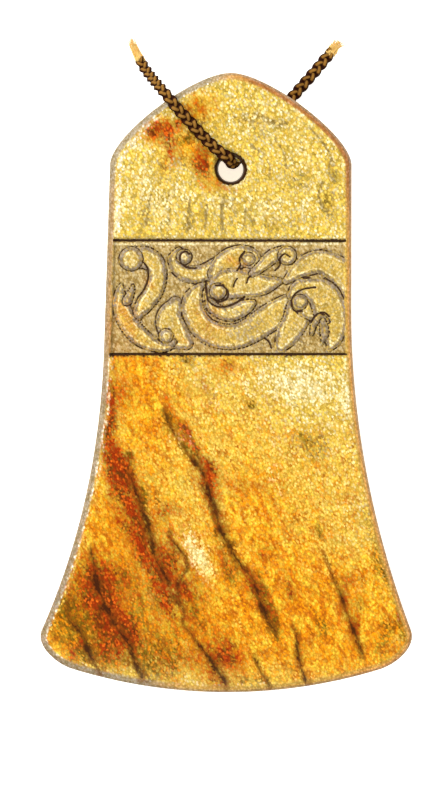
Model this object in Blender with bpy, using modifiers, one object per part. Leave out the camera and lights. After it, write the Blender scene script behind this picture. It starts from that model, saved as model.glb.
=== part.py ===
"""A jadeite axe head of archaistic form, lying on its back, with a short braided cord through its hole.

Metres, +Z up. The stone's own frame has X across it, Y from the blade (0) to the butt, and Z = 0 half
way through its thickness. The stone then leans on its blade and on the cord beneath it.
"""

import math

import bmesh
import bpy
from mathutils import Vector

MM = 0.001

# Outline of the stone
LENGTH = 150 * MM
BODY_WIDTH = 58.3 * MM
SHOULDER_DROP = 22.2 * MM  # from the top of the butt to where its sides run straight
BUTT_HANDLE = 8.9 * MM  # how far the round of the butt reaches to each side
SHOULDER_HANDLE = 7 * MM  # how far the round of a shoulder reaches up
BLADE_RADIUS = 126 * MM
BLADE_LOW_X = -0.9 * MM  # the blade's lowest point, beside the stone's axis
BLADE_LEFT = 45.8 * MM
BLADE_RIGHT = 43.7 * MM
FLARE_START_LEFT = 83.7 * MM  # height above the blade where a side begins to swing out
FLARE_START_RIGHT = 92.9 * MM
LEFT_SPREAD = 1.5 * MM  # the left side stands this much further out there than at the shoulder
CORNER_RADIUS = 5 * MM

# Thickness
THICKNESS = 7 * MM
RIM_ROUNDING = 1.5 * MM
BLADE_THICKNESS = 3 * MM  # what the body alone would thin to at the blade
EDGE_THICKNESS = 1.6 * MM  # what the ground edge thins to
GRIND_WIDTH = 8 * MM

# Hole, drilled from both faces
HOLE_DIAMETER = 6.8 * MM
HOLE_DROP = 23.2 * MM  # from the top of the butt to the hole's middle
COUNTERSINK_DIAMETER = 9.6 * MM
COUNTERSINK_DEPTH = 1.2 * MM

# Carved band across the front
BAND_DROP = 40.2 * MM  # from the top of the butt to the band's upper line
BAND_HEIGHT = 27.9 * MM
BAND_MARGIN = 1.7 * MM  # the rim beside the band that the carver left
BAND_DEPTH = 0.8 * MM  # how far the ground is sunk below the face
LINE_WIDTH = 0.5 * MM  # the incised line along each edge of the band
LINE_MARGIN = 0.7 * MM  # the lines run further out over the rim than the band does
LINE_DEPTH = 0.3 * MM  # how much deeper than the ground it runs

# How the stone lies
LEAN = math.radians(2.4)

# Cord
CORD_DIAMETER = 2.8 * MM
CORD_POINTS = 60
CORD_ROUTE = (
    # the front end on the table, then up to the left shoulder
    (-23.1, 83.0, 1.5),
    (-22.2, 81.0, 1.5),
    (-21.1, 78.8, 1.7),
    (-20.0, 76.8, 2.7),
    (-18.9, 75.1, 4.5),
    (-17.7, 73.5, 7.0),
    (-16.5, 71.9, 9.7),
    (-15.2, 70.3, 11.8),
    (-13.7, 68.5, 12.9),
    # across the front face to the hole
    (-11.8, 66.1, 12.8),
    (-9.1, 63.2, 12.6),
    (-6.4, 60.2, 12.5),
    (-3.8, 57.6, 12.4),
    (-1.9, 55.9, 12.3),
    # down through the hole
    (-0.2, 54.8, 11.8),
    (0.8, 53.7, 10.5),
    (1.2, 53.2, 8.9),
    (1.6, 53.1, 7.0),
    (1.9, 53.2, 5.1),
    (2.3, 53.6, 3.4),
    (3.2, 54.6, 2.3),
    (4.4, 55.9, 1.8),
    # under the stone and out beside the right shoulder
    (7.2, 59.0, 1.5),
    (10.8, 63.2, 1.5),
    (14.3, 67.4, 1.5),
    (17.9, 71.6, 1.5),
    (21.5, 75.7, 1.5),
    (24.4, 79.2, 1.5),
    (26.6, 81.7, 1.5),
)

# The band's scrolls are drawn on a field of this size and then fitted to the band.
FIELD_WIDTH = 58.6
FIELD_HEIGHT = 28.1

# Each body of the relief: the share of the band's depth that its top stands above the ground, then its
# spine as (across from the axis, up from the lower line, half of the body's width there).
BODIES = {
    "leaf": (0.55, ((-13.4, 12.6, 1.7), (-15.0, 8.9, 3.2), (-13.5, 5.2, 3.4), (-10.8, 3.0, 1.7))),
    "great_crescent": (
        0.65,
        (
            (-6.7, 17.4, 0.6), (-8.6, 15.2, 1.7), (-9.4, 12.5, 2.6), (-8.6, 9.4, 2.8),
            (-6.4, 6.4, 3.0), (-2.8, 4.7, 3.1), (1.3, 4.6, 3.1), (5.2, 6.2, 3.2),
            (9.1, 8.9, 3.4), (13.0, 11.5, 3.0), (15.5, 13.4, 2.0),
        ),
    ),
    "flank": (
        0.6,
        ((17.4, 14.4, 2.4), (16.9, 11.6, 3.3), (15.7, 8.3, 3.2), (13.8, 5.0, 2.9), (12.2, 2.2, 1.5)),
    ),
    "volute_field": (0.55, ((16.2, 12.4, 1.4), (19.0, 11.6, 2.8), (21.8, 10.8, 3.0))),
    "right_hump": (
        0.6,
        (
            (13.4, 18.0, 0.9), (16.2, 20.5, 1.9), (18.8, 22.0, 2.7), (21.8, 22.7, 2.9),
            (24.9, 21.5, 3.2), (27.8, 19.1, 3.6), (29.9, 16.4, 3.6),
        ),
    ),
    "right_volute": (
        0.8,
        (
            (14.8, 14.5, 1.2), (16.5, 16.4, 1.9), (19.5, 16.2, 2.6), (22.5, 14.6, 3.8),
            (24.0, 11.0, 4.1), (24.5, 7.5, 3.6), (25.0, 4.2, 2.2), (23.9, 1.4, 0.6),
        ),
    ),
    "claw": (0.95, ((19.7, 5.2, 0.5), (20.3, 7.7, 0.8), (21.9, 9.2, 0.8), (23.5, 8.2, 0.6))),
    "claw_finger": (0.9, ((22.4, 8.2, 0.8), (22.8, 5.4, 1.1), (22.3, 2.9, 0.4))),
    "upper_scroll": (
        0.75,
        (
            (-2.1, 21.5, 3.0), (-6.2, 20.1, 2.2), (-9.8, 19.6, 2.1),
            (-12.8, 21.0, 1.7), (-13.9, 23.5, 1.3), (-12.6, 25.2, 1.1),
        ),
    ),
    "brow": (
        0.85,
        ((-3.4, 19.8, 2.2), (-0.9, 22.3, 3.2), (2.3, 24.0, 2.8), (5.0, 23.4, 2.4), (6.6, 21.0, 0.9)),
    ),
    "jaw": (
        0.9,
        (
            (-5.7, 14.2, 0.7), (-4.5, 11.8, 1.5), (-2.1, 10.3, 1.7),
            (0.6, 10.3, 2.0), (3.3, 11.6, 1.9), (5.4, 12.7, 0.9),
        ),
    ),
    "head": (
        1.0,
        ((-4.0, 15.9, 2.2), (-0.6, 17.3, 3.7), (3.5, 17.3, 3.2), (7.7, 17.1, 2.5), (11.6, 17.9, 1.0)),
    ),
    "horn": (0.95, ((5.2, 19.8, 0.9), (7.7, 21.8, 1.4), (10.1, 23.9, 1.8), (13.0, 24.7, 2.0))),
    "left_crescent": (
        0.9,
        (
            (-26.6, 17.1, 0.5), (-26.9, 15.2, 1.3), (-26.6, 12.0, 2.1),
            (-25.4, 8.9, 2.4), (-23.5, 6.0, 2.4), (-21.0, 3.8, 2.2),
            (-18.1, 2.3, 1.5), (-15.4, 1.9, 1.0), (-13.7, 3.3, 0.7),
        ),
    ),
    "crescent_tip": (0.9, ((-23.7, 16.9, 0.4), (-24.2, 15.2, 0.9), (-25.2, 13.2, 1.2))),
    "left_comma": (
        1.0,
        (
            (-24.2, 23.4, 2.7), (-20.7, 23.7, 2.7), (-18.4, 22.0, 2.6), (-17.7, 18.8, 2.2),
            (-18.8, 15.4, 2.3), (-21.0, 12.3, 2.1), (-22.3, 10.3, 1.4), (-22.1, 8.6, 0.3),
        ),
    ),
}

# Round bosses at the hearts of the volutes: (across, up, radius), standing at the band's full depth
BOSSES = {
    "comma_boss": (-24.2, 23.4, 2.95),
    "scroll_boss": (-11.3, 23.9, 1.9),
    "crescent_boss": (-15.7, 4.7, 1.8),
    "cheek_boss": (-3.1, 15.5, 2.1),
    "ear_boss": (4.3, 23.4, 1.6),
    "horn_boss": (13.7, 24.2, 2.3),
    "volute_boss": (16.8, 12.9, 1.9),
}

# Narrow cuts that part one figure from the next: (across, up) along each
CUTS = {
    "comma_cut": ((-21.4, 22.8), (-20.3, 21.4), (-20.0, 19.0), (-20.9, 16.2), (-22.6, 13.9)),
    "head_cut": (
        (-6.0, 18.0), (-5.9, 15.6), (-5.4, 13.3), (-3.6, 11.9), (-1.4, 11.8), (1.2, 12.7), (3.4, 14.2),
    ),
    "cheek_cut": ((-4.4, 13.9), (-2.6, 13.0), (-0.9, 13.8), (-0.6, 15.4), (-1.8, 16.8), (-3.6, 17.0)),
    "left_eye_cut": ((0.6, 16.6), (1.0, 17.8), (1.6, 18.6)),
    "right_eye_cut": ((3.9, 17.6), (4.2, 18.7), (4.9, 19.2)),
    "scroll_cut": (
        (-8.3, 21.2), (-10.4, 21.3), (-12.0, 22.4), (-12.3, 24.2), (-11.2, 25.2), (-10.0, 24.6),
    ),
    "ear_cut": ((1.6, 20.6), (2.3, 21.8), (2.2, 23.6), (3.4, 25.2)),
    "horn_cut": ((10.8, 20.6), (11.9, 21.8), (12.0, 23.6), (13.1, 24.6), (14.4, 23.9)),
    "fork_cut": ((8.2, 4.2), (9.2, 3.4), (9.9, 1.8)),
    "volute_cut": (
        (20.6, 16.5), (18.2, 16.2), (16.1, 15.3), (15.0, 13.9), (14.7, 12.2), (15.6, 10.8), (17.3, 10.6),
    ),
    "claw_cut": ((19.6, 8.2), (20.9, 9.9), (22.6, 10.4), (24.0, 9.4)),
}
CUT_WIDTH = 0.6 * MM  # at the face
CUT_DEPTH = 0.6 * MM
CUT_FLOOR_SHARE = 0.2  # how much of its width is left at its floor

# The section of a relief body or boss, as shares of its height and of its half width
SHOULDER_SHARE = 0.55
TOP_SHARE = 0.6
BOSS_NECK_SHARE = 0.65
ROOT_DEPTH = 0.3 * MM  # how far a body runs on below the ground
TOP_CLEARANCE = 0.01 * MM  # keeps a body's top just under the face

# A round corner of about a right angle, as shares of its radius
CORNER_INSET = 1.5
CORNER_RISE = 1.92
CORNER_HANDLE = 0.85

# Fineness of the meshes
OUTLINE_STEPS = 9
RIM_STEPS = 1
BLADE_ROWS = 12
FACE_COLUMNS = 8
ROUND_SIDES = 32
BOSS_SIDES = 16
BODY_STEPS = 3  # stations to each point of a spine
CUTTER_MARGIN = 2 * MM
WELD = 0.001 * MM

TAPER_START = LENGTH - BAND_DROP - BAND_HEIGHT
BAND_TOP = LENGTH - BAND_DROP
HALF_BODY = BODY_WIDTH / 2
FRONT = THICKNESS / 2
HOLE_Y = LENGTH - HOLE_DROP


def clear_scene():
    for existing in list(bpy.data.objects):
        bpy.data.objects.remove(existing)


def new_collection(name):
    collection = bpy.data.collections.new(name)
    bpy.context.scene.collection.children.link(collection)
    return collection


def principled(name, colour, roughness, specular=0.5):
    material = bpy.data.materials.new(name)
    material.use_nodes = True
    shader = material.node_tree.nodes["Principled BSDF"]
    shader.inputs["Base Color"].default_value = (*colour, 1.0)
    shader.inputs["Roughness"].default_value = roughness
    shader.inputs["Metallic"].default_value = 0.0
    shader.inputs["Specular IOR Level"].default_value = specular
    return material


def add_cutter(name, mesh, cutters):
    cutter = bpy.data.objects.new(name, mesh)
    cutter.hide_render = True
    cutter.display_type = "WIRE"
    cutters.objects.link(cutter)
    return cutter


def difference(target, cutter):
    modifier = target.modifiers.new(cutter.name, "BOOLEAN")
    modifier.operation = "DIFFERENCE"
    modifier.solver = "EXACT"
    modifier.object = cutter


def smooth_through(points, steps):
    """Catmull-Rom curve through the points, with this many steps from each to the next."""
    knots = [Vector(p) for p in points]
    knots = [2 * knots[0] - knots[1]] + knots + [2 * knots[-1] - knots[-2]]
    found = []
    for a, b, c, d in zip(knots, knots[1:], knots[2:], knots[3:]):
        for step in range(steps):
            t = step / steps
            square = 2 * a - 5 * b + 4 * c - d
            cube = 3 * b - a - 3 * c + d
            found.append(0.5 * (2 * b + (c - a) * t + square * t**2 + cube * t**3))
    return found + [knots[-2]]


def evenly(points, count):
    """The same line, as this many points an equal way apart."""
    lengths = [0.0]
    for a, b in zip(points, points[1:]):
        lengths.append(lengths[-1] + (b - a).length)
    spaced = []
    i = 0
    for k in range(count):
        want = lengths[-1] * k / (count - 1)
        while i < len(points) - 2 and lengths[i + 1] < want:
            i += 1
        share = (want - lengths[i]) / (lengths[i + 1] - lengths[i])
        spaced.append(points[i].lerp(points[i + 1], share))
    return spaced


def mesh_from_curve(curve_object):
    """The curve's solid as a mesh with its caps welded on."""
    graph = bpy.context.evaluated_depsgraph_get()
    mesh = bpy.data.meshes.new_from_object(curve_object.evaluated_get(graph))
    bpy.data.objects.remove(curve_object)
    welded = bmesh.new()
    welded.from_mesh(mesh)
    bmesh.ops.remove_doubles(welded, verts=welded.verts, dist=WELD)
    bmesh.ops.recalc_face_normals(welded, faces=welded.faces)
    welded.to_mesh(mesh)
    welded.free()
    return mesh


def blade_side(tip_x, flare_start, spread, side):
    """Bezier points (co, handle before, handle after) from a side's straight part round to the blade.

    The side swings out as a parabola, and the corner turns by about a right angle into the blade's arc.
    """
    start = Vector((side * (HALF_BODY + spread), flare_start))
    down = start - Vector((side * HALF_BODY, LENGTH - SHOULDER_DROP))
    foot_x = side * (tip_x - CORNER_INSET * CORNER_RADIUS) - BLADE_LOW_X
    angle = math.asin(abs(foot_x) / BLADE_RADIUS)
    foot = Vector((BLADE_LOW_X + foot_x, BLADE_RADIUS * (1 - math.cos(angle))))
    along = Vector((side * math.cos(angle), math.sin(angle)))
    tip = Vector((side * tip_x, foot.y + CORNER_RISE * CORNER_RADIUS))
    drop = flare_start - tip.y
    swing = tip.x - start.x
    outward = Vector((2 * swing, -drop)).normalized()
    round_handle = CORNER_HANDLE * CORNER_RADIUS
    arc_handle = 4 / 3 * math.tan(angle / 4) * BLADE_RADIUS
    points = [
        (start, start - down / 3, start + down.normalized() * drop / 3),
        (tip, tip + Vector((-2 / 3 * swing, drop / 3)), tip + outward * round_handle),
        (foot, foot + along * round_handle, foot - along * arc_handle),
    ]
    return points, down / 3, arc_handle


def outline_points():
    """The outline clockwise from the top of the butt, as Bezier points."""
    top = Vector((0, LENGTH))
    low = Vector((BLADE_LOW_X, 0))
    right, right_down, right_handle = blade_side(BLADE_RIGHT, FLARE_START_RIGHT, 0, 1)
    left, left_down, left_handle = blade_side(BLADE_LEFT, FLARE_START_LEFT, LEFT_SPREAD, -1)
    shoulder = LENGTH - SHOULDER_DROP
    right_shoulder = Vector((HALF_BODY, shoulder))
    left_shoulder = Vector((-HALF_BODY, shoulder))
    up = Vector((0, SHOULDER_HANDLE))
    across = Vector((BUTT_HANDLE, 0))
    return [
        (top, top - across, top + across),
        (right_shoulder, right_shoulder + up, right_shoulder + right_down),
        *right,
        (low, low + Vector((right_handle, 0)), low - Vector((left_handle, 0))),
        *((co, after, before) for co, before, after in reversed(left)),
        (left_shoulder, left_shoulder + left_down, left_shoulder + up),
    ]


def thickness_at(x, y):
    """The body thins as the square of the way down to the blade, and its last millimetres are ground."""
    down = min(max((TAPER_START - y) / TAPER_START, 0), 1)
    body = THICKNESS - (THICKNESS - BLADE_THICKNESS) * down**2
    inside = BLADE_RADIUS - math.hypot(x - BLADE_LOW_X, y - BLADE_RADIUS)
    ground = min(max(1 - inside / GRIND_WIDTH, 0), 1)
    return body - (BLADE_THICKNESS - EDGE_THICKNESS) * ground**2


def make_blank():
    """The stone before carving: its outline with a rounded rim, thinned towards the blade."""
    curve = bpy.data.curves.new("outline", "CURVE")
    curve.dimensions = "2D"
    curve.fill_mode = "BOTH"
    curve.extrude = FRONT - RIM_ROUNDING
    curve.bevel_depth = RIM_ROUNDING
    curve.bevel_resolution = RIM_STEPS
    curve.offset = -RIM_ROUNDING
    curve.resolution_u = OUTLINE_STEPS
    spline = curve.splines.new("BEZIER")
    points = outline_points()
    spline.bezier_points.add(len(points) - 1)
    for point, (co, before, after) in zip(spline.bezier_points, points):
        point.handle_left_type = point.handle_right_type = "FREE"
        point.co = (*co, 0)
        point.handle_left = (*before, 0)
        point.handle_right = (*after, 0)
    spline.use_cyclic_u = True
    outline = bpy.data.objects.new("outline", curve)
    bpy.context.scene.collection.objects.link(outline)
    mesh = mesh_from_curve(outline)
    mesh.shade_smooth()

    blank = bmesh.new()
    blank.from_mesh(mesh)
    flat = math.radians(0.1)
    bmesh.ops.dissolve_limit(blank, angle_limit=flat, verts=blank.verts, edges=blank.edges)
    for row in range(BLADE_ROWS):
        bisect(blank, (0, TAPER_START * (row + 0.5) / BLADE_ROWS, 0), (0, 1, 0))
    for column in range(1, FACE_COLUMNS):
        x = -BLADE_LEFT + (BLADE_LEFT + BLADE_RIGHT) * column / FACE_COLUMNS
        bisect(blank, (x, 0, 0), (1, 0, 0))
    bisect(blank, (0, TAPER_START, 0), (0, 1, 0))
    for vert in blank.verts:
        vert.co.z *= thickness_at(vert.co.x, vert.co.y) / THICKNESS
    thinned = [face for face in blank.faces if face.calc_center_median().y < TAPER_START]
    bmesh.ops.triangulate(blank, faces=thinned)
    blank.to_mesh(mesh)
    blank.free()
    mesh.set_sharp_from_angle(angle=math.radians(30))
    return mesh


def bisect(mesh, point, normal):
    everything = mesh.verts[:] + mesh.edges[:] + mesh.faces[:]
    bmesh.ops.bisect_plane(mesh, geom=everything, plane_co=point, plane_no=normal, dist=WELD)


def box_mesh(name, low, high):
    box = bmesh.new()
    bmesh.ops.create_cube(box, size=1)
    size = Vector(high) - Vector(low)
    centre = (Vector(high) + Vector(low)) / 2
    for vert in box.verts:
        vert.co = centre + Vector(s * c for s, c in zip(size, vert.co))
    mesh = bpy.data.meshes.new(name)
    box.to_mesh(mesh)
    box.free()
    return mesh


def turned_cutter(name, profile, cutters):
    """A cutter turned about the hole's axis from (radius, z) points, outer side top to bottom."""
    profile_mesh = bpy.data.meshes.new(name)
    edges = [(i, i + 1) for i in range(len(profile) - 1)]
    profile_mesh.from_pydata([(r, 0, z) for r, z in profile], edges, [])
    cutter = add_cutter(name, profile_mesh, cutters)
    cutter.location = (0, HOLE_Y, 0)
    screw = cutter.modifiers.new("turn", "SCREW")
    screw.steps = screw.render_steps = ROUND_SIDES
    screw.use_merge_vertices = True
    screw.merge_threshold = 0.01 * MM
    return cutter


def hole_cutter(cutters):
    """Straight through, and opened out in a cone at both faces."""
    bore = HOLE_DIAMETER / 2
    slope = (COUNTERSINK_DIAMETER / 2 - bore) / COUNTERSINK_DEPTH
    top = FRONT + CUTTER_MARGIN
    wide = bore + slope * (COUNTERSINK_DEPTH + CUTTER_MARGIN)
    neck = FRONT - COUNTERSINK_DEPTH
    profile = ((0, top), (wide, top), (bore, neck), (bore, -neck), (wide, -top), (0, -top))
    return turned_cutter("hole_cutter", profile, cutters)


def field_to_band(across, up):
    return across / FIELD_WIDTH * BODY_WIDTH, TAPER_START + up / FIELD_HEIGHT * BAND_HEIGHT


def loft_along(name, line, section):
    """A loft along a line of (across, up, half width), its section in (share of half width, z) points."""
    stations = smooth_through(line, BODY_STEPS)
    loft = bmesh.new()
    rings = []
    for i, station in enumerate(stations):
        x, y = field_to_band(station.x, station.y)
        ahead = stations[min(i + 1, len(stations) - 1)]
        behind = stations[max(i - 1, 0)]
        along = (ahead - behind).xy.normalized()
        side = Vector((-along.y, along.x)) * station.z * BAND_HEIGHT / FIELD_HEIGHT
        rings.append([loft.verts.new((x + side.x * s, y + side.y * s, z)) for s, z in section])
    for a, b in zip(rings, rings[1:]):
        for k in range(len(a)):
            loft.faces.new((a[k - 1], a[k], b[k], b[k - 1]))
    loft.faces.new(rings[0])
    loft.faces.new(rings[-1])
    bmesh.ops.recalc_face_normals(loft, faces=loft.faces)
    mesh = bpy.data.meshes.new(name)
    loft.to_mesh(mesh)
    loft.free()
    return mesh


def body_mesh(name, spine, share):
    """A body of the relief: as wide as its spine says, level on top, with sloping shoulders."""
    ground = FRONT - BAND_DEPTH
    top = ground + share * BAND_DEPTH - TOP_CLEARANCE
    shoulder = ground + SHOULDER_SHARE * share * BAND_DEPTH
    base = ground - ROOT_DEPTH
    section = (
        (-1, base),
        (-1, shoulder),
        (-TOP_SHARE, top),
        (TOP_SHARE, top),
        (1, shoulder),
        (1, base),
    )
    return loft_along(name, spine, section)


def boss_mesh(name, across, up, radius):
    """A low round boss with sloping shoulders, at the band's full depth."""
    x, y = field_to_band(across, up)
    wide = radius * BAND_HEIGHT / FIELD_HEIGHT
    base = FRONT - BAND_DEPTH - ROOT_DEPTH
    neck = FRONT - (1 - BOSS_NECK_SHARE) * BAND_DEPTH
    boss = bmesh.new()
    made = bmesh.ops.create_cone(
        boss, cap_ends=True, segments=BOSS_SIDES, radius1=wide, radius2=wide, depth=neck - base
    )
    bmesh.ops.translate(boss, verts=made["verts"], vec=(x, y, (neck + base) / 2))
    top = max(boss.faces, key=lambda face: face.calc_center_median().z)
    bmesh.ops.inset_individual(boss, faces=[top], thickness=(1 - TOP_SHARE) * wide)
    bmesh.ops.translate(boss, verts=top.verts[:], vec=(0, 0, FRONT - TOP_CLEARANCE - neck))
    mesh = bpy.data.meshes.new(name)
    boss.to_mesh(mesh)
    boss.free()
    return mesh


def cut_mesh(name, line):
    """A wedge along the line, as wide as the cut at the face, and nearly closed at its floor."""
    half = CUT_WIDTH / 2 / (BAND_HEIGHT / FIELD_HEIGHT)
    above = FRONT + CUT_DEPTH
    section = (
        (-CUT_FLOOR_SHARE, FRONT - CUT_DEPTH),
        (-2, above),
        (2, above),
        (CUT_FLOOR_SHARE, FRONT - CUT_DEPTH),
    )
    return loft_along(name, [(across, up, half) for across, up in line], section)


def band_cutter(cutters):
    """What the carver sank: a shallow box from rim to rim, less the figures that stand in it."""
    reach = HALF_BODY - BAND_MARGIN
    low = (-reach, TAPER_START, FRONT - BAND_DEPTH)
    high = (reach, BAND_TOP, FRONT + CUTTER_MARGIN)
    cutter = add_cutter("band_cutter", box_mesh("band_cutter", low, high), cutters)
    for name, (share, spine) in BODIES.items():
        difference(cutter, add_cutter(name, body_mesh(name, spine, share), cutters))
    for name, (across, up, radius) in BOSSES.items():
        difference(cutter, add_cutter(name, boss_mesh(name, across, up, radius), cutters))
    return cutter


def line_cutters(cutters):
    """The incised lines along the band's two edges."""
    reach = HALF_BODY - LINE_MARGIN
    floor = FRONT - BAND_DEPTH - LINE_DEPTH
    ceiling = FRONT + CUTTER_MARGIN
    made = []
    for name, low in (("upper_line_cutter", BAND_TOP - LINE_WIDTH), ("lower_line_cutter", TAPER_START)):
        line = box_mesh(name, (-reach, low, floor), (reach, low + LINE_WIDTH, ceiling))
        made.append(add_cutter(name, line, cutters))
    return made


def lay_down(stone):
    """Leans the stone and puts the middle of its underside's box at the origin."""
    stone.rotation_euler = (LEAN, 0, 0)
    bpy.context.view_layer.update()
    graph = bpy.context.evaluated_depsgraph_get()
    evaluated = stone.evaluated_get(graph)
    corners = [evaluated.matrix_world @ vert.co for vert in evaluated.to_mesh().vertices]
    evaluated.to_mesh_clear()
    lows = [min(c[i] for c in corners) for i in range(3)]
    highs = [max(c[i] for c in corners) for i in range(3)]
    stone.location = (-(lows[0] + highs[0]) / 2, -(lows[1] + highs[1]) / 2, -lows[2])


def make_stone(collection, cutters):
    stone = bpy.data.objects.new("axe_head", make_blank())
    collection.objects.link(stone)
    stone.data.materials.append(principled("jadeite", (0.62, 0.38, 0.06), 0.28))
    made = [band_cutter(cutters), *line_cutters(cutters)]
    made += [add_cutter(name, cut_mesh(name, line), cutters) for name, line in CUTS.items()]
    made.append(hole_cutter(cutters))
    for cutter in made:
        difference(stone, cutter)
    for cutter in cutters.objects:
        cutter.parent = stone
    lay_down(stone)
    return stone


def make_cord(collection):
    """A round tube along the route, from the end on the front to the end beneath."""
    curve = bpy.data.curves.new("cord", "CURVE")
    curve.dimensions = "3D"
    curve.bevel_depth = CORD_DIAMETER / 2
    curve.bevel_resolution = 2
    curve.use_fill_caps = True
    smooth = smooth_through([Vector(p) * MM for p in CORD_ROUTE], 12)
    points = evenly(smooth, CORD_POINTS)
    spline = curve.splines.new("POLY")
    spline.points.add(len(points) - 1)
    for point, co in zip(spline.points, points):
        point.co = (*co, 1)
    cord = bpy.data.objects.new("cord", curve)
    collection.objects.link(cord)
    curve.materials.append(principled("silk_cord", (0.05, 0.025, 0.012), 0.7))
    return cord


def main():
    clear_scene()
    collection = new_collection("jadeite_axe_head")
    cutters = new_collection("cutters")
    make_stone(collection, cutters)
    make_cord(collection)


main()
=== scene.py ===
# Jadeite axe head lying on its back, with the short braided cord that hung it.
# X runs across the stone, Y from the blade to the butt, Z up. Sizes are in millimetres until a mesh is made.

import math
from functools import partial

import bpy
import numpy as np
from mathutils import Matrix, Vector


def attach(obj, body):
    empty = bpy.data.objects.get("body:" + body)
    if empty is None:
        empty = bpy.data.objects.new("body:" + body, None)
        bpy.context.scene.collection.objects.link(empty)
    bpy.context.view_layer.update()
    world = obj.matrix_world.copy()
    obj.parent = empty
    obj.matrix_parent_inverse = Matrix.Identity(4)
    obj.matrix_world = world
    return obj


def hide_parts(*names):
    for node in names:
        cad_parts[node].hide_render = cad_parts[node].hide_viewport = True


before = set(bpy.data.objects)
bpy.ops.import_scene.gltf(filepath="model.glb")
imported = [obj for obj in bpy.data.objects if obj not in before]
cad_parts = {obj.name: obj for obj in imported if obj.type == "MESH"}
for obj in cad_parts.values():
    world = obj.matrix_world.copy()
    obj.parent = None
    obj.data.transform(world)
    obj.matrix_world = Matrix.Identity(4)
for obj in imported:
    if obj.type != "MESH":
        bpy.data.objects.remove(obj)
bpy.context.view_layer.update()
scene = bpy.context.scene
mm = 0.001


def fromHex(code):  # sRGB hex to the linear colour that a socket takes
    srgb = np.array([int(code[i:i + 2], 16) for i in (1, 3, 5)]) / 255
    linear = np.where(srgb <= 0.04045, srgb / 12.92, ((srgb + 0.055) / 1.055) ** 2.4)
    return (*linear.tolist(), 1.0)


def addNode(tree, kind, *values, out=0, **named):
    # one node: names in small letters are its settings, the rest its inputs, by place or by name. A socket is
    # linked and anything else is set. It gives back one output.
    node = tree.nodes.new("ShaderNode" + kind)
    inputs = dict(enumerate(values))
    for name, value in named.items():
        if name[0].islower():
            setattr(node, name, value)
        else:
            inputs[name.replace("_", " ")] = value
    for key, value in inputs.items():
        if isinstance(value, bpy.types.NodeSocket):
            tree.links.new(value, node.inputs[key])
        else:
            node.inputs[key].default_value = value
    return node.outputs[out] if len(node.outputs) else node


def newMaterial(name):
    material = bpy.data.materials.new(name)
    material.use_nodes = True
    material.node_tree.nodes.clear()
    return material, material.node_tree


def smoothThrough(points, steps):
    # Catmull-Rom: between knots b and c the point is half of 2b + (c-a)t + (2a-5b+4c-d)t2 + (3b-a-3c+d)t3
    p = np.asarray(points, float)
    p = np.vstack([2 * p[0] - p[1], p, 2 * p[-1] - p[-2]])
    a, b, c, d = (p[k:len(p) - 3 + k, None] for k in range(4))
    t = np.linspace(0, 1, steps, endpoint=False)[None, :, None]
    curve = 0.5 * (2 * b + (c - a) * t + (2 * a - 5 * b + 4 * c - d) * t**2 + (3 * b - a - 3 * c + d) * t**3)
    return np.vstack([curve.reshape(-1, p.shape[1]), p[-2]])


def lengthsAlong(line):
    # how far along the line each of its points lies
    return np.concatenate([[0], np.cumsum(np.linalg.norm(np.diff(line, axis=0), axis=1))])


def evenly(line, count):
    # the same line as this many points, an equal length apart
    lengths = lengthsAlong(line)
    wanted = np.linspace(0, lengths[-1], count)
    return np.stack([np.interp(wanted, lengths, column) for column in line.T], axis=1)


def smoothStep(low, high, value):
    # 3t2 - 2t3, t being the share of the way from low to high
    t = np.clip((value - low) / (high - low), 0, 1)
    return t * t * (3 - 2 * t)


def softNoise(x, y, size, seed):
    # random numbers from -1 to 1 on a lattice of that size; between them a mean weighted by the smooth step
    table = np.random.default_rng(seed).uniform(-1, 1, (64, 64))
    u, v = x / size + 31.5, y / size + 5.5
    i, j = np.floor(u).astype(int), np.floor(v).astype(int)
    fu, fv = smoothStep(0, 1, u - i), smoothStep(0, 1, v - j)
    i, j = i % 63, j % 63
    lower = table[j, i] + (table[j, i + 1] - table[j, i]) * fu
    upper = table[j + 1, i] + (table[j + 1, i + 1] - table[j + 1, i]) * fu
    return lower + (upper - lower) * fv


def makePiece(name, points, quads, triangles, material):
    # a mesh from whole arrays, points in millimetres, put into the scene at the origin
    mesh = bpy.data.meshes.new(name)
    corners = np.concatenate([quads.ravel(), triangles.ravel()]).astype(np.int32)
    sides = np.concatenate([np.full(len(quads), 4), np.full(len(triangles), 3)])
    mesh.vertices.add(len(points))
    mesh.vertices.foreach_set("co", (points * mm).astype(np.float32).ravel())
    mesh.loops.add(len(corners))
    mesh.loops.foreach_set("vertex_index", corners)
    mesh.polygons.add(len(sides))
    mesh.polygons.foreach_set("loop_start", np.concatenate([[0], np.cumsum(sides)[:-1]]).astype(np.int32))
    mesh.update(calc_edges=True)
    mesh.validate()
    mesh.shade_smooth()
    mesh.materials.append(material)
    piece = bpy.data.objects.new(name, mesh)
    scene.collection.objects.link(piece)
    return piece


def addAttribute(piece, name, values):
    kind = "FLOAT" if values.ndim == 1 else "FLOAT_VECTOR"
    attribute = piece.data.attributes.new(name, kind, "POINT")
    attribute.data.foreach_set("value" if values.ndim == 1 else "vector", values.astype(np.float32).ravel())


# The camera looks straight down on the stone from far enough off that its sides hardly show.
view = {"lens": 200.0, "sensor": 36.0, "middle": (-0.78, -4.06, 7.0), "height": 193.3}

cameraData = bpy.data.cameras.new("camera")
cameraData.lens = view["lens"]
cameraData.sensor_width = view["sensor"]
distance = view["height"] * view["lens"] / view["sensor"]
cameraData.clip_start = 0.01
camera = bpy.data.objects.new("camera", cameraData)
camera.location = (Vector(view["middle"]) + Vector((0, 0, distance))) * mm
scene.collection.objects.link(camera)
scene.camera = camera
print("camera", round(distance), "mm above the stone")


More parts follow.
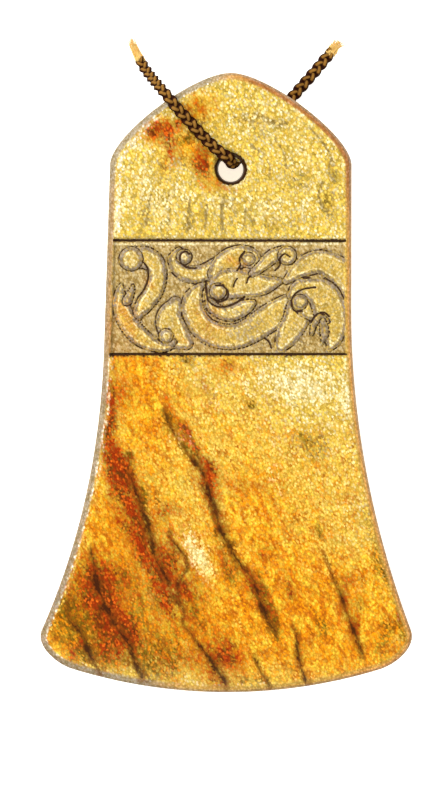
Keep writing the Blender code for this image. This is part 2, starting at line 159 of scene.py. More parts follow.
# Cord: a plait of three dark silk strands, frayed at both ends.
cord = {
    "diameter": 2.8,
    "swing": 0.74,  # how far a strand's middle goes to each side
    "lift": 0.40,  # and up and down as it crosses the others
    "strandWide": 0.74,  # half a strand's width and half its thickness
    "strandThick": 0.60,
    "lobe": 2.35,  # from one lobe of the plait's edge to the next
    "pinch": 0.22,  # how much thinner it is at its ends
    "stations": 420,
    "sides": 12,
    "pathPoints": 241,
    "fineSteps": 2001,  # points of the middle line that the plait is read from
    "plaitFrom": 4.6,  # where the plait starts and ends, along the cord
    "plaitTo": 1.0,
    "fibres": 90,  # in each frayed end
    "fibreRadius": 0.13,
    "tuftWide": 1.2,  # half across and half up where the fibres leave the plait
    "tuftThick": 0.75,
    "tuftGather": 0.75,  # how far they draw together at the tip
    "tufts": ((6.2, 0.10, 3), (3.6, 0.30, 8)),  # length, spread and seed of the front end and of the other
    "khaki": "#875f26",
    "chocolate": "#280d02",
    "straw": "#e9d083",
    "amberTip": "#c98a30",
    "route": (
        (-23.1, 83.0, 1.5), (-22.2, 81.0, 1.5), (-21.1, 78.8, 1.7), (-20.0, 76.8, 2.7),
        (-18.9, 75.1, 4.5), (-17.7, 73.5, 7.0), (-16.5, 71.9, 9.7), (-15.2, 70.3, 11.8),
        (-13.7, 68.5, 12.9), (-11.8, 66.1, 12.8), (-9.1, 63.2, 12.6), (-6.4, 60.2, 12.5),
        (-3.8, 57.6, 12.4), (-1.9, 55.9, 12.3), (-0.2, 54.8, 11.8), (0.8, 53.7, 10.5),
        (1.2, 53.2, 8.9), (1.6, 53.1, 7.0), (1.9, 53.2, 5.1), (2.3, 53.6, 3.4),
        (3.2, 54.6, 2.3), (4.4, 55.9, 1.8), (7.2, 59.0, 1.5), (10.8, 63.2, 1.5),
        (14.3, 67.4, 1.5), (17.9, 71.6, 1.5), (21.5, 75.7, 1.5), (24.4, 79.2, 1.5),
        (26.6, 81.7, 1.5),
    ),
    # how far the soft plait settles off that route towards what it presses on, at shares of its length
    "settle": (
        (0.00, 0, 0, -0.5), (0.10, 0, 0, -0.4), (0.24, 0, 0, -0.35), (0.50, 0, 0, -0.35),
        (0.56, -0.1, 0.2, -0.3), (0.62, -0.1, 0.25, 0), (0.66, -0.1, 0.2, 0.1),
        (0.72, 0, 0.1, -0.1), (0.80, 0, 0, -0.35), (1.00, 0, 0, -0.35),
    ),
}

routeLine = evenly(smoothThrough(cord["route"], 12), cord["pathPoints"])
routeShare = np.linspace(0, 1, len(routeLine))
settle = np.array(cord["settle"])
offRoute = [np.interp(routeShare, settle[:, 0], column) for column in settle[:, 1:].T]
settledLine = routeLine + np.stack(offRoute, axis=1)
cordLength = lengthsAlong(settledLine)[-1]
fineLine = evenly(settledLine, cord["fineSteps"])


def framesAlong(line):
    # tangents; a level side, square to the plan's heading over a tenth of the line, less its part along the
    # tangent, so that the plait keeps its flat face up; and up = tangent x side
    tangent = np.gradient(line, axis=0)
    tangent /= np.linalg.norm(tangent, axis=1, keepdims=True)
    reach = len(line) // 20
    before, after = 2 * line[0] - line[reach:0:-1], 2 * line[-1] - line[-2:-reach - 2:-1]
    padded = np.vstack([before, line, after])
    heading = (padded[2 * reach:] - padded[:-2 * reach])[:, :2]
    heading /= np.linalg.norm(heading, axis=1, keepdims=True)
    side = np.column_stack([-heading[:, 1], heading[:, 0], np.zeros(len(line))])
    side -= (side * tangent).sum(axis=1, keepdims=True) * tangent
    side /= np.linalg.norm(side, axis=1, keepdims=True)
    return tangent, side, np.cross(tangent, side)


def tubesOf(centres, sides, ups, wide, thick, turns):
    # closed tubes: each ring is centre + side * wide cos(turn) + up * thick sin(turn), ends closed by a point
    count, rings = centres.shape[:2]
    ring = (
        centres[:, :, None]
        + sides[:, :, None] * (wide[:, :, None] * np.cos(turns))[..., None]
        + ups[:, :, None] * (thick[:, :, None] * np.sin(turns))[..., None]
    )
    n = len(turns)
    points = np.concatenate([ring.reshape(count, -1, 3), centres[:, :1], centres[:, -1:]], axis=1)
    one = rings * n + 2
    base = (np.arange(count) * one)[:, None, None]
    j = np.arange(rings - 1)[None, :, None] * n
    k = np.arange(n)[None, None, :]
    following = (k + 1) % n
    near, far = base + j, base + j + n
    quads = np.stack([near + k, near + following, far + following, far + k], axis=-1)
    k, following, base = k[:, 0], following[:, 0], base[:, 0]
    last = base + (rings - 1) * n
    start = np.stack(np.broadcast_arrays(base + following, base + k, base + rings * n), axis=-1)
    end = np.stack(np.broadcast_arrays(last + k, last + following, base + rings * n + 1), axis=-1)
    return points.reshape(-1, 3), quads.reshape(-1, 4), np.concatenate([start, end]).reshape(-1, 3)


def plaitStrands():
    # three strands, each at side = swing sin(u), up = -lift sin(2u), a third of a turn apart; u turns once in
    # three lobes, so the lobes meet in a row of V shapes that point to the hole
    distance = np.linspace(cord["plaitFrom"], cordLength - cord["plaitTo"], cord["stations"])
    fine = np.linspace(0, cordLength, len(fineLine))
    centre = np.stack([np.interp(distance, fine, column) for column in fineLine.T], axis=1)
    tangent, side, up = framesAlong(centre)
    u = 2 * np.pi * (distance / (3 * cord["lobe"]) + np.arange(3)[:, None] / 3)
    centres = (
        centre
        + side * (cord["swing"] * np.sin(u))[..., None]
        - up * (cord["lift"] * np.sin(2 * u))[..., None]
    )
    toEnd = np.minimum(distance - distance[0], distance[-1] - distance)
    pinch = 1 - cord["pinch"] * smoothStep(2.5, 0.5, toEnd)
    wide = cord["strandWide"] * pinch * np.ones_like(u)
    thick = cord["strandThick"] * pinch * np.ones_like(u)
    turns = np.linspace(0, 2 * np.pi, cord["sides"], endpoint=False)
    sides3, ups3 = (np.broadcast_to(v, centres.shape) for v in (side, up))
    points, quads, triangles = tubesOf(centres, sides3, ups3, wide, thick, turns)
    outward = np.abs(np.sin(turns)) * np.ones((3, len(distance), 1))
    # a strand shows its worn crown where it lies on top and is hidden, and dark, where it dips
    height = -np.sin(2 * u)[..., None] * np.sign(np.sin(turns))
    crown = np.clip(outward, 0, 1) ** 1.7 * smoothStep(-0.75, 0.35, height)
    crown = np.hstack([crown.reshape(3, -1), np.zeros((3, 2))]).ravel()
    return points, quads, triangles, crown


def fibreTuft(share, outward, length, spread, seed):
    # fibres from the cord's end: point = root + way * length * t + lean * length * t2, thinning to nothing
    rng = np.random.default_rng(seed)
    count = cord["fibres"]
    root = fineLine[int(share * (len(fineLine) - 1))]
    way = np.array(outward, float)
    way /= np.linalg.norm(way)
    across = np.cross(way, (0, 0, 1.0))
    angle = rng.uniform(0, 2 * np.pi, count)
    out = np.sqrt(rng.uniform(0, 1, count))
    start = root + (across * (cord["tuftWide"] * out * np.cos(angle))[:, None]
                    + np.array([0, 0, cord["tuftThick"]]) * (out * np.sin(angle))[:, None])
    start -= way * rng.uniform(0.2, 1.6, count)[:, None]
    t = np.linspace(0, 1, 9)
    reach = length * rng.uniform(0.55, 1.0, count)
    lean = (across * rng.normal(0, spread, count)[:, None]
            + np.array([0, 0, 1.0]) * rng.normal(-0.1, 0.12, count)[:, None])
    centres = (
        start[:, None]
        + way * (reach[:, None] * t)[..., None]
        + lean[:, None] * (reach[:, None] * t**2)[..., None]
        - (start - root)[:, None] * (cord["tuftGather"] * t**1.5)[None, :, None]
    )
    centres[..., 2] = np.maximum(centres[..., 2], 0.15)  # none goes through the table
    radius = cord["fibreRadius"] * (1 - 0.85 * t**1.5) * np.ones((count, 1))
    turns = np.linspace(0, 2 * np.pi, 5, endpoint=False)
    sides = np.broadcast_to(across, centres.shape)
    ups = np.broadcast_to(np.cross(across, way), centres.shape)
    points, quads, triangles = tubesOf(centres, sides, ups, radius, radius, turns)
    tone = 0.8 * t[:, None] + 0.2 * rng.uniform(0, 1, (count, 1, 1))
    tone = np.broadcast_to(tone, (count, len(t), len(turns))).reshape(count, -1)
    tone = np.hstack([tone, np.zeros((count, 1)), np.ones((count, 1))]).ravel()
    return points, quads, triangles, tone


def silkMaterial():
    # Dark silk sewing cord, plaited and waxed by handling: rubbed to khaki on the crowns, near black between.
    material, tree = newMaterial("plaited silk")
    add = partial(addNode, tree)
    tone = {name: fromHex(cord[name]) for name in ("chocolate", "khaki", "amberTip", "straw")}
    crown, fray = (add("Attribute", attribute_name=name, out="Fac") for name in ("crown", "fray"))
    place = add("TexCoord", out="Object")
    wear = add("TexNoise", Vector=place, Scale=900.0, Detail=3.0)  # 1.1 mm patches
    wearAndShade = add("Math", wear, 0.5, -0.25, operation="MULTIPLY_ADD")
    wearAndShade = add("Math", wearAndShade, crown, operation="ADD")
    wearAndShade = add("MapRange", wearAndShade, 0.5, 1.0, interpolation_type="SMOOTHSTEP")
    plaited = add("MixRGB", wearAndShade, tone["chocolate"], tone["khaki"])
    pale = add("MixRGB", wear, tone["amberTip"], tone["straw"])
    colour = add("MixRGB", add("MapRange", fray, 0.0, 0.12), plaited, pale)
    # threads of about 0.12 mm, drawn at 0.25 mm so that they show
    threads = add("TexNoise", Vector=place, Scale=4000.0, Detail=1.0)
    bump = add("Bump", Strength=0.35, Distance=0.0001, Height=threads)
    shader = add("BsdfPrincipled", Base_Color=colour, Roughness=0.62, IOR=1.5, Normal=bump,
                 Specular_IOR_Level=0.05)
    add("OutputMaterial", Surface=shader)
    return material


def makeCord():
    points, quads, triangles, crown = plaitStrands()
    fray = np.zeros(len(points))
    # the tufts go on the way the cord was going, the front one a little down and the other turned towards Y
    frontWay, backWay = settledLine[0] - settledLine[12], settledLine[-1] - settledLine[-12]
    ends = ((cord["plaitFrom"] / cordLength, (frontWay[0], frontWay[1], -0.1)),
            (1 - cord["plaitTo"] / cordLength, (backWay[0], backWay[1] * 1.25, 0)))
    for (share, outward), (length, spread, seed) in zip(ends, cord["tufts"]):
        more, moreQuads, moreTriangles, tone = fibreTuft(share, outward, length, spread, seed)
        quads = np.vstack([quads, moreQuads + len(points)])
        triangles = np.vstack([triangles, moreTriangles + len(points)])
        points = np.vstack([points, more])
        crown = np.concatenate([crown, np.zeros(len(more))])
        fray = np.concatenate([fray, 0.2 + 0.8 * tone])
    piece = makePiece("silk_cord", points, quads, triangles, silkMaterial())
    addAttribute(piece, "crown", crown)
    addAttribute(piece, "fray", fray)
    return piece


cordPiece = makeCord()
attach(cordPiece, "root")
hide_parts("cord")
print("cord", round(cordLength, 1), "mm long,", len(cordPiece.data.polygons), "faces")


# Stone: one closed skin, a grid of cells over the front, a rim, a coarser back and the wall of the hole.
stone = {
    "length": 150.0, "bodyWidth": 58.3, "shoulderDrop": 22.2, "buttHandle": 8.9, "shoulderHandle": 7.0,
    "bladeRadius": 126.0, "bladeLowX": -0.9, "bladeLeft": 45.8, "bladeRight": 43.7,
    "flareStartLeft": 83.7, "flareStartRight": 92.9, "leftSpread": 1.5,
    "cornerInset": 7.5, "cornerRise": 9.6, "cornerHandle": 4.25,
    "thickness": 7.0, "rimWidth": 1.5, "bladeThickness": 3.0, "edgeThickness": 1.6, "grindWidth": 8.0,
    "holeRadius": 3.4, "holeDrop": 23.2, "countersinkRadius": 4.8, "countersinkDepth": 1.2,
    "holeWall": ((0.93, 0.65), (0.88, 0.25), (0.88, -0.25)),  # shares of its radius and height
    "bandDrop": 40.2, "bandHeight": 27.9, "bandDepth": 0.8, "lineWidth": 0.5, "lineDepth": 0.3,
    "cutDepth": 0.3, "dotSpacing": 0.8,  # the V along each figure, cut in dots
    "fieldScale": 1.006,  # the scrolls are drawn this much larger than they are cut
    "lean": 2.4,  # degrees, tipped onto its blade by the cord beneath
    "place": (1.0803, -74.9665, 1.5383),
    # cells across: beside the hole, over it; and up: blade to band, band, band to hole, hole, hole to butt
    "across": (104, 26), "up": (96, 120, 22, 26, 30),
    "curveSteps": 160,  # points on each curve of the outline
    "buttSplit": 10.0,  # the grid's upper corners lie this far out on the curve of the butt
    "bladeBend": 62.0,  # rows this near the blade bend to its arc, and rows above the next to the butt's
    "buttBend": 131.5,
    "holeBlend": (14.5, 5.5),  # between these distances from the hole the squares become circles
    # the rim's profile from the face outwards: share of the rim's width, share of its drop
    "rim": ((0.0, 0.0), (0.22, 0.09), (0.48, 0.25), (0.72, 0.47), (0.90, 0.74), (1.0, 1.0)),
    "ripple": 0.05,  # unevenness left by hand grinding
}
bandLow = stone["length"] - stone["bandDrop"] - stone["bandHeight"]
bandTop = bandLow + stone["bandHeight"]
holeY = stone["length"] - stone["holeDrop"]
halfBody = stone["bodyWidth"] / 2

# Relief: each body is its height, as a share of the band's depth, and its spine (across, up, half width).
bodies = (
    (0.55, ((-13.4, 12.6, 1.7), (-15.0, 8.9, 3.2), (-13.5, 5.2, 3.4), (-10.8, 3.0, 1.7))),
    (0.65, ((-6.7, 17.4, 0.6), (-8.6, 15.2, 1.7), (-9.4, 12.5, 2.6), (-8.6, 9.4, 2.8), (-6.4, 6.4, 3.0),
            (-2.8, 4.7, 3.1), (1.3, 4.6, 3.1), (5.2, 6.2, 3.2), (9.1, 8.9, 3.4), (13.0, 11.5, 3.0),
            (15.5, 13.4, 2.0))),
    (0.6, ((17.4, 14.4, 2.4), (16.9, 11.6, 3.3), (15.7, 8.3, 3.2), (13.8, 5.0, 2.9), (12.2, 2.2, 1.5))),
    (0.55, ((16.2, 12.4, 1.4), (19.0, 11.6, 2.8), (21.8, 10.8, 3.0))),
    (0.6, ((13.4, 18.0, 0.9), (16.2, 20.5, 1.9), (18.8, 22.0, 2.7), (21.8, 22.7, 2.9), (24.9, 21.5, 3.2),
           (27.8, 19.1, 3.6), (29.9, 16.4, 3.6))),
    (0.8, ((14.8, 14.5, 1.2), (16.5, 16.4, 1.9), (19.5, 16.2, 2.6), (22.5, 14.6, 3.8), (24.0, 11.0, 4.1),
           (24.5, 7.5, 3.6), (25.0, 4.2, 2.2), (23.9, 1.4, 0.6))),
    (0.95, ((19.7, 5.2, 0.5), (20.3, 7.7, 0.8), (21.9, 9.2, 0.8), (23.5, 8.2, 0.6))),
    (0.9, ((22.4, 8.2, 0.8), (22.8, 5.4, 1.1), (22.3, 2.9, 0.4))),
    (0.75, ((-2.1, 21.5, 3.0), (-6.2, 20.1, 2.2), (-9.8, 19.6, 2.1), (-12.8, 21.0, 1.7), (-13.9, 23.5, 1.3),
            (-12.6, 25.2, 1.1))),
    (0.85, ((-3.4, 19.8, 2.2), (-0.9, 22.3, 3.2), (2.3, 24.0, 2.8), (5.0, 23.4, 2.4), (6.6, 21.0, 0.9))),
    (0.9, ((-5.7, 14.2, 0.7), (-4.5, 11.8, 1.5), (-2.1, 10.3, 1.7), (0.6, 10.3, 2.0), (3.3, 11.6, 1.9),
           (5.4, 12.7, 0.9))),
    (1.0, ((-4.0, 15.9, 2.2), (-0.6, 17.3, 3.7), (3.5, 17.3, 3.2), (7.7, 17.1, 2.5), (11.6, 17.9, 1.0))),
    (0.95, ((5.2, 19.8, 0.9), (7.7, 21.8, 1.4), (10.1, 23.9, 1.8), (13.0, 24.7, 2.0))),
    (0.9, ((-26.6, 17.1, 0.5), (-26.9, 15.2, 1.3), (-26.6, 12.0, 2.1), (-25.4, 8.9, 2.4), (-23.5, 6.0, 2.4),
           (-21.0, 3.8, 2.2), (-18.1, 2.3, 1.5), (-15.4, 1.9, 1.0), (-13.7, 3.3, 0.7))),
    (0.9, ((-23.7, 16.9, 0.4), (-24.2, 15.2, 0.9), (-25.2, 13.2, 1.2))),
    (1.0, ((-24.2, 23.4, 2.7), (-20.7, 23.7, 2.7), (-18.4, 22.0, 2.6), (-17.7, 18.8, 2.2), (-18.8, 15.4, 2.3),
           (-21.0, 12.3, 2.1), (-22.3, 10.3, 1.4), (-22.1, 8.6, 0.3))),
)
bosses = (
    (-24.2, 23.4, 2.95), (-11.3, 23.9, 1.9), (-15.7, 4.7, 1.8), (-3.1, 15.5, 2.1), (4.3, 23.4, 1.6),
    (13.7, 24.2, 2.3), (16.8, 12.9, 1.9),
)
cuts = (
    ((-21.4, 22.8), (-20.3, 21.4), (-20.0, 19.0), (-20.9, 16.2), (-22.6, 13.9)),
    ((-6.0, 18.0), (-5.9, 15.6), (-5.4, 13.3), (-3.6, 11.9), (-1.4, 11.8), (1.2, 12.7), (3.4, 14.2)),
    ((-4.4, 13.9), (-2.6, 13.0), (-0.9, 13.8), (-0.6, 15.4), (-1.8, 16.8), (-3.6, 17.0)),
    ((0.6, 16.6), (1.0, 17.8), (1.6, 18.6)),
    ((3.9, 17.6), (4.2, 18.7), (4.9, 19.2)),
    ((-8.3, 21.2), (-10.4, 21.3), (-12.0, 22.4), (-12.3, 24.2), (-11.2, 25.2), (-10.0, 24.6)),
    ((1.6, 20.6), (2.3, 21.8), (2.2, 23.6), (3.4, 25.2)),
    ((10.8, 20.6), (11.9, 21.8), (12.0, 23.6), (13.1, 24.6), (14.4, 23.9)),
    ((8.2, 4.2), (9.2, 3.4), (9.9, 1.8)),
    ((20.6, 16.5), (18.2, 16.2), (16.1, 15.3), (15.0, 13.9), (14.7, 12.2), (15.6, 10.8), (17.3, 10.6)),
    ((19.6, 8.2), (20.9, 9.9), (22.6, 10.4), (24.0, 9.4)),
)


def sideCurve(tipX, flareStart, spread, side):
    # Bezier knots (point, handle before, handle after): the side swings out as a parabola to the blade's
    # corner, which turns by about a right angle into the blade's arc
    low, radius, handle = stone["bladeLowX"], stone["bladeRadius"], stone["cornerHandle"]
    start = np.array([side * (halfBody + spread), flareStart])
    down = start - (side * halfBody, stone["length"] - stone["shoulderDrop"])
    footX = side * (tipX - stone["cornerInset"]) - low
    angle = math.asin(abs(footX) / radius)
    foot = np.array([low + footX, radius * (1 - math.cos(angle))])
    along = np.array([side * math.cos(angle), math.sin(angle)])
    tip = np.array([side * tipX, foot[1] + stone["cornerRise"]])
    drop, swing = flareStart - tip[1], tip[0] - start[0]
    outward = np.array([2 * swing, -drop]) / math.hypot(2 * swing, drop)
    arcHandle = 4 / 3 * math.tan(angle / 4) * radius
    knots = [
        (start, start - down / 3, start + down / np.linalg.norm(down) * drop / 3),
        (tip, tip + (-2 / 3 * swing, drop / 3), tip + outward * handle),
        (foot, foot + along * handle, foot - along * arcHandle),
    ]
    return knots, down / 3, arcHandle


def stoneOutline():
    # the closed outline, clockwise from the top of the butt, with its outward normals and lengths along it
    top = np.array([0, stone["length"]])
    low = np.array([stone["bladeLowX"], 0])
    right, rightDown, rightArc = sideCurve(stone["bladeRight"], stone["flareStartRight"], 0, 1)
    left, leftDown, leftArc = sideCurve(stone["bladeLeft"], stone["flareStartLeft"], stone["leftSpread"], -1)
    shoulders = [np.array([side * halfBody, stone["length"] - stone["shoulderDrop"]]) for side in (1, -1)]
    up, across = np.array([0, stone["shoulderHandle"]]), np.array([stone["buttHandle"], 0])
    knots = [(top, top - across, top + across),
             (shoulders[0], shoulders[0] + up, shoulders[0] + rightDown), *right,
             (low, low + (rightArc, 0), low - (leftArc, 0)),
             *((point, after, before) for point, before, after in reversed(left)),
             (shoulders[1], shoulders[1] + leftDown, shoulders[1] + up)]
    t = np.linspace(0, 1, stone["curveSteps"], endpoint=False)[:, None]
    line = []
    for (a, _, after), (b, before, _) in zip(knots, knots[1:] + knots[:1]):
        line.append((1 - t)**3 * a + 3 * (1 - t)**2 * t * after + 3 * (1 - t) * t**2 * before + t**3 * b)
    line = np.vstack(line)
    around = np.vstack([line, line[:1]])
    slope = np.gradient(np.vstack([line[-1:], around, line[1:2]]), axis=0)[1:-1]
    slope /= np.linalg.norm(slope, axis=1, keepdims=True)
    normal = np.stack([-slope[:, 1], slope[:, 0]], axis=1)
    return around, normal, lengthsAlong(around)


def halfThickness(x, y):
    # the body thins as the square of the way down to the blade, and its last millimetres are ground
    down = np.clip((bandLow - y) / bandLow, 0, 1)
    inside = stone["bladeRadius"] - np.hypot(x - stone["bladeLowX"], y - stone["bladeRadius"])
    ground = np.clip(1 - inside / stone["grindWidth"], 0, 1)
    body = stone["thickness"] - (stone["thickness"] - stone["bladeThickness"]) * down**2
    return (body - (stone["bladeThickness"] - stone["edgeThickness"]) * ground**2) / 2


def toLine(x, y, line, widths=None):
    # distance to a line of straight pieces, less its half width there, and how far along it that is
    best = np.full(len(x), 1e3)
    along = np.zeros(len(x))
    lengths = lengthsAlong(line)
    widths = np.zeros(len(line)) if widths is None else widths
    for k in range(len(line) - 1):
        a, b = line[k], line[k + 1]
        span = b - a
        t = np.clip(((x - a[0]) * span[0] + (y - a[1]) * span[1]) / max(span @ span, 1e-9), 0, 1)
        gap = np.hypot(x - a[0] - t * span[0], y - a[1] - t * span[1])
        gap -= widths[k] + t * (widths[k + 1] - widths[k])
        nearer = gap < best
        best = np.where(nearer, gap, best)
        along = np.where(nearer, lengths[k] + t * (lengths[k + 1] - lengths[k]), along)
    return best, along


def carve(x, y, edge):
    # the band's sunk ground with its figures: depth below the face, the painted shade in its cuts and lines,
    # the painted grey shade and pale highlight round its figures, how hatched it is, and where the ground is
    # bare. A figure's top rises from its border as 1 - (1 - distance in / half width)2, and each border is
    # cut in a V
    inBand = (y > bandLow + 0.01) & (y < bandTop - 0.01)
    fade = smoothStep(stone["rimWidth"], stone["rimWidth"] + 0.5, edge)
    depth = stone["bandDepth"]
    sunk = np.zeros(len(x))
    incised, shaded, lit, strokes, uncovered = (np.zeros(len(x)) for _ in range(5))
    u, v = stone["fieldScale"] * x[inBand], stone["fieldScale"] * (y[inBand] - bandLow)
    z = np.full(len(u), -depth)
    cut, shade, light, hatch = (np.zeros(len(u)) for _ in range(4))
    bare = np.ones(len(u))
    figures = [(share, smoothThrough(spine, 5)) for share, spine in bodies]
    figures += [(1.0, np.array([(a, b, r), (a + 0.01, b, r)])) for a, b, r in bosses]
    for share, spine in figures:
        gap, along = toLine(u, v, spine[:, :2], spine[:, 2])
        widest = spine[:, 2].max()
        rise = np.clip(-gap / (0.95 * widest), 0, 1)
        top = -depth + depth * share * (0.38 + 0.62 * (1 - (1 - rise)**2))
        wall = smoothStep(0.12, -0.14, gap)
        z = z + (np.maximum(z, top) - z) * wall
        # a dotted border, darkened as painted shade in its cut, painted grey shade on both sides of it,
        # a painted pale highlight line inside that, and the way along the figure for the fine strokes across
        # it
        border = np.exp(-(gap / 0.2)**2) * (1.0 + 0.5 * np.sin(2 * np.pi * along / stone["dotSpacing"]))
        bare = np.minimum(bare, smoothStep(0.0, 0.25, gap))
        # a later figure hides the marks of what it covers
        cut = np.maximum(cut * (1 - wall), border)
        breadth = 0.5 + 0.28 * softNoise(u, v, 3.1, 31)
        shade = np.maximum(shade * (1 - wall), np.exp(-((gap + 0.55) / breadth)**2) * (gap < 0.1))
        shade = np.maximum(shade, 0.8 * np.exp(-np.clip(gap, 0, 9) / 0.5) * (gap > 0))
        light = np.maximum(light * (1 - wall), np.exp(-((gap + 0.6 + 1.2 * breadth) / 0.26)**2))
        hatch = np.where(gap < -0.3, along, hatch)
    for line in cuts:
        gap, _ = toLine(u, v, smoothThrough(line, 5))
        cut = np.maximum(cut, 1.15 * smoothStep(0.4, 0.12, gap))
    z = z - stone["cutDepth"] * np.clip(cut, 0, 1)
    lines = np.minimum(bandTop - y[inBand], y[inBand] - bandLow)
    z = np.where(lines < stone["lineWidth"], -depth - stone["lineDepth"], z)
    sunk[inBand] = z * fade[inBand]
    incised[inBand] = cut * fade[inBand]
    shaded[inBand], lit[inBand], strokes[inBand], uncovered[inBand] = shade, light, hatch, bare
    # the band's two lines, darkened as painted shade in their grooves
    toUpper, toLower = y - bandTop + stone["lineWidth"] / 2, y - bandLow - stone["lineWidth"] / 2
    lines = np.minimum(np.abs(toUpper) + 0.07, np.abs(toLower))  # the upper line's own shadow thickens it
    incised = np.maximum(incised, 1.3 * smoothStep(0.42, 0.22, lines))
    return sunk, {"incised": incised, "shaded": shaded, "lit": lit, "strokes": strokes, "open": uncovered}


def countersink(x, y):
    # from the face down to the bore: depth = share1.2, the share going from 0 at its lip to 1 at the bore
    radius, bore = stone["countersinkRadius"], stone["holeRadius"]
    share = np.clip((radius - np.hypot(x, y - holeY)) / (radius - bore), 0, 1)
    return -stone["countersinkDepth"] * share**1.2


def gridQuads(rows, columns, keep=None):
    # cells of a grid of points, row by row, turned to face +Z
    j, i = np.meshgrid(np.arange(rows), np.arange(columns), indexing="ij")
    if keep is not None:
        j, i = j[keep], i[keep]
    a = (j * (columns + 1) + i).ravel()
    return np.stack([a, a + 1, a + columns + 2, a + columns + 1], axis=1)


def ringQuads(inner, outer):
    # joins a ring to one of as many points
    return np.stack([inner, np.roll(inner, -1), np.roll(outer, -1), outer], axis=1)


def halvingTriangles(full, half):
    # joins a ring to one of half as many points
    a, b, c = full[0::2], full[1::2], np.roll(full[0::2], -1)
    d, e = half, np.roll(half, -1)
    return np.concatenate([np.stack(t, axis=1) for t in ((a, b, d), (b, e, d), (b, c, e))])


def borderOf(rows, columns, fromRow=0, toRow=None, fromColumn=0, toColumn=None):
    # indices round a block of the grid, clockwise from its upper left
    toRow = rows if toRow is None else toRow
    toColumn = columns if toColumn is None else toColumn
    j = np.concatenate([np.full(toColumn - fromColumn, toRow), np.arange(toRow, fromRow, -1),
                        np.full(toColumn - fromColumn, fromRow), np.arange(fromRow, toRow)])
    i = np.concatenate([np.arange(fromColumn, toColumn), np.full(toRow - fromRow, toColumn),
                        np.arange(toColumn, fromColumn, -1), np.full(toRow - fromRow, fromColumn)])
    return j, i


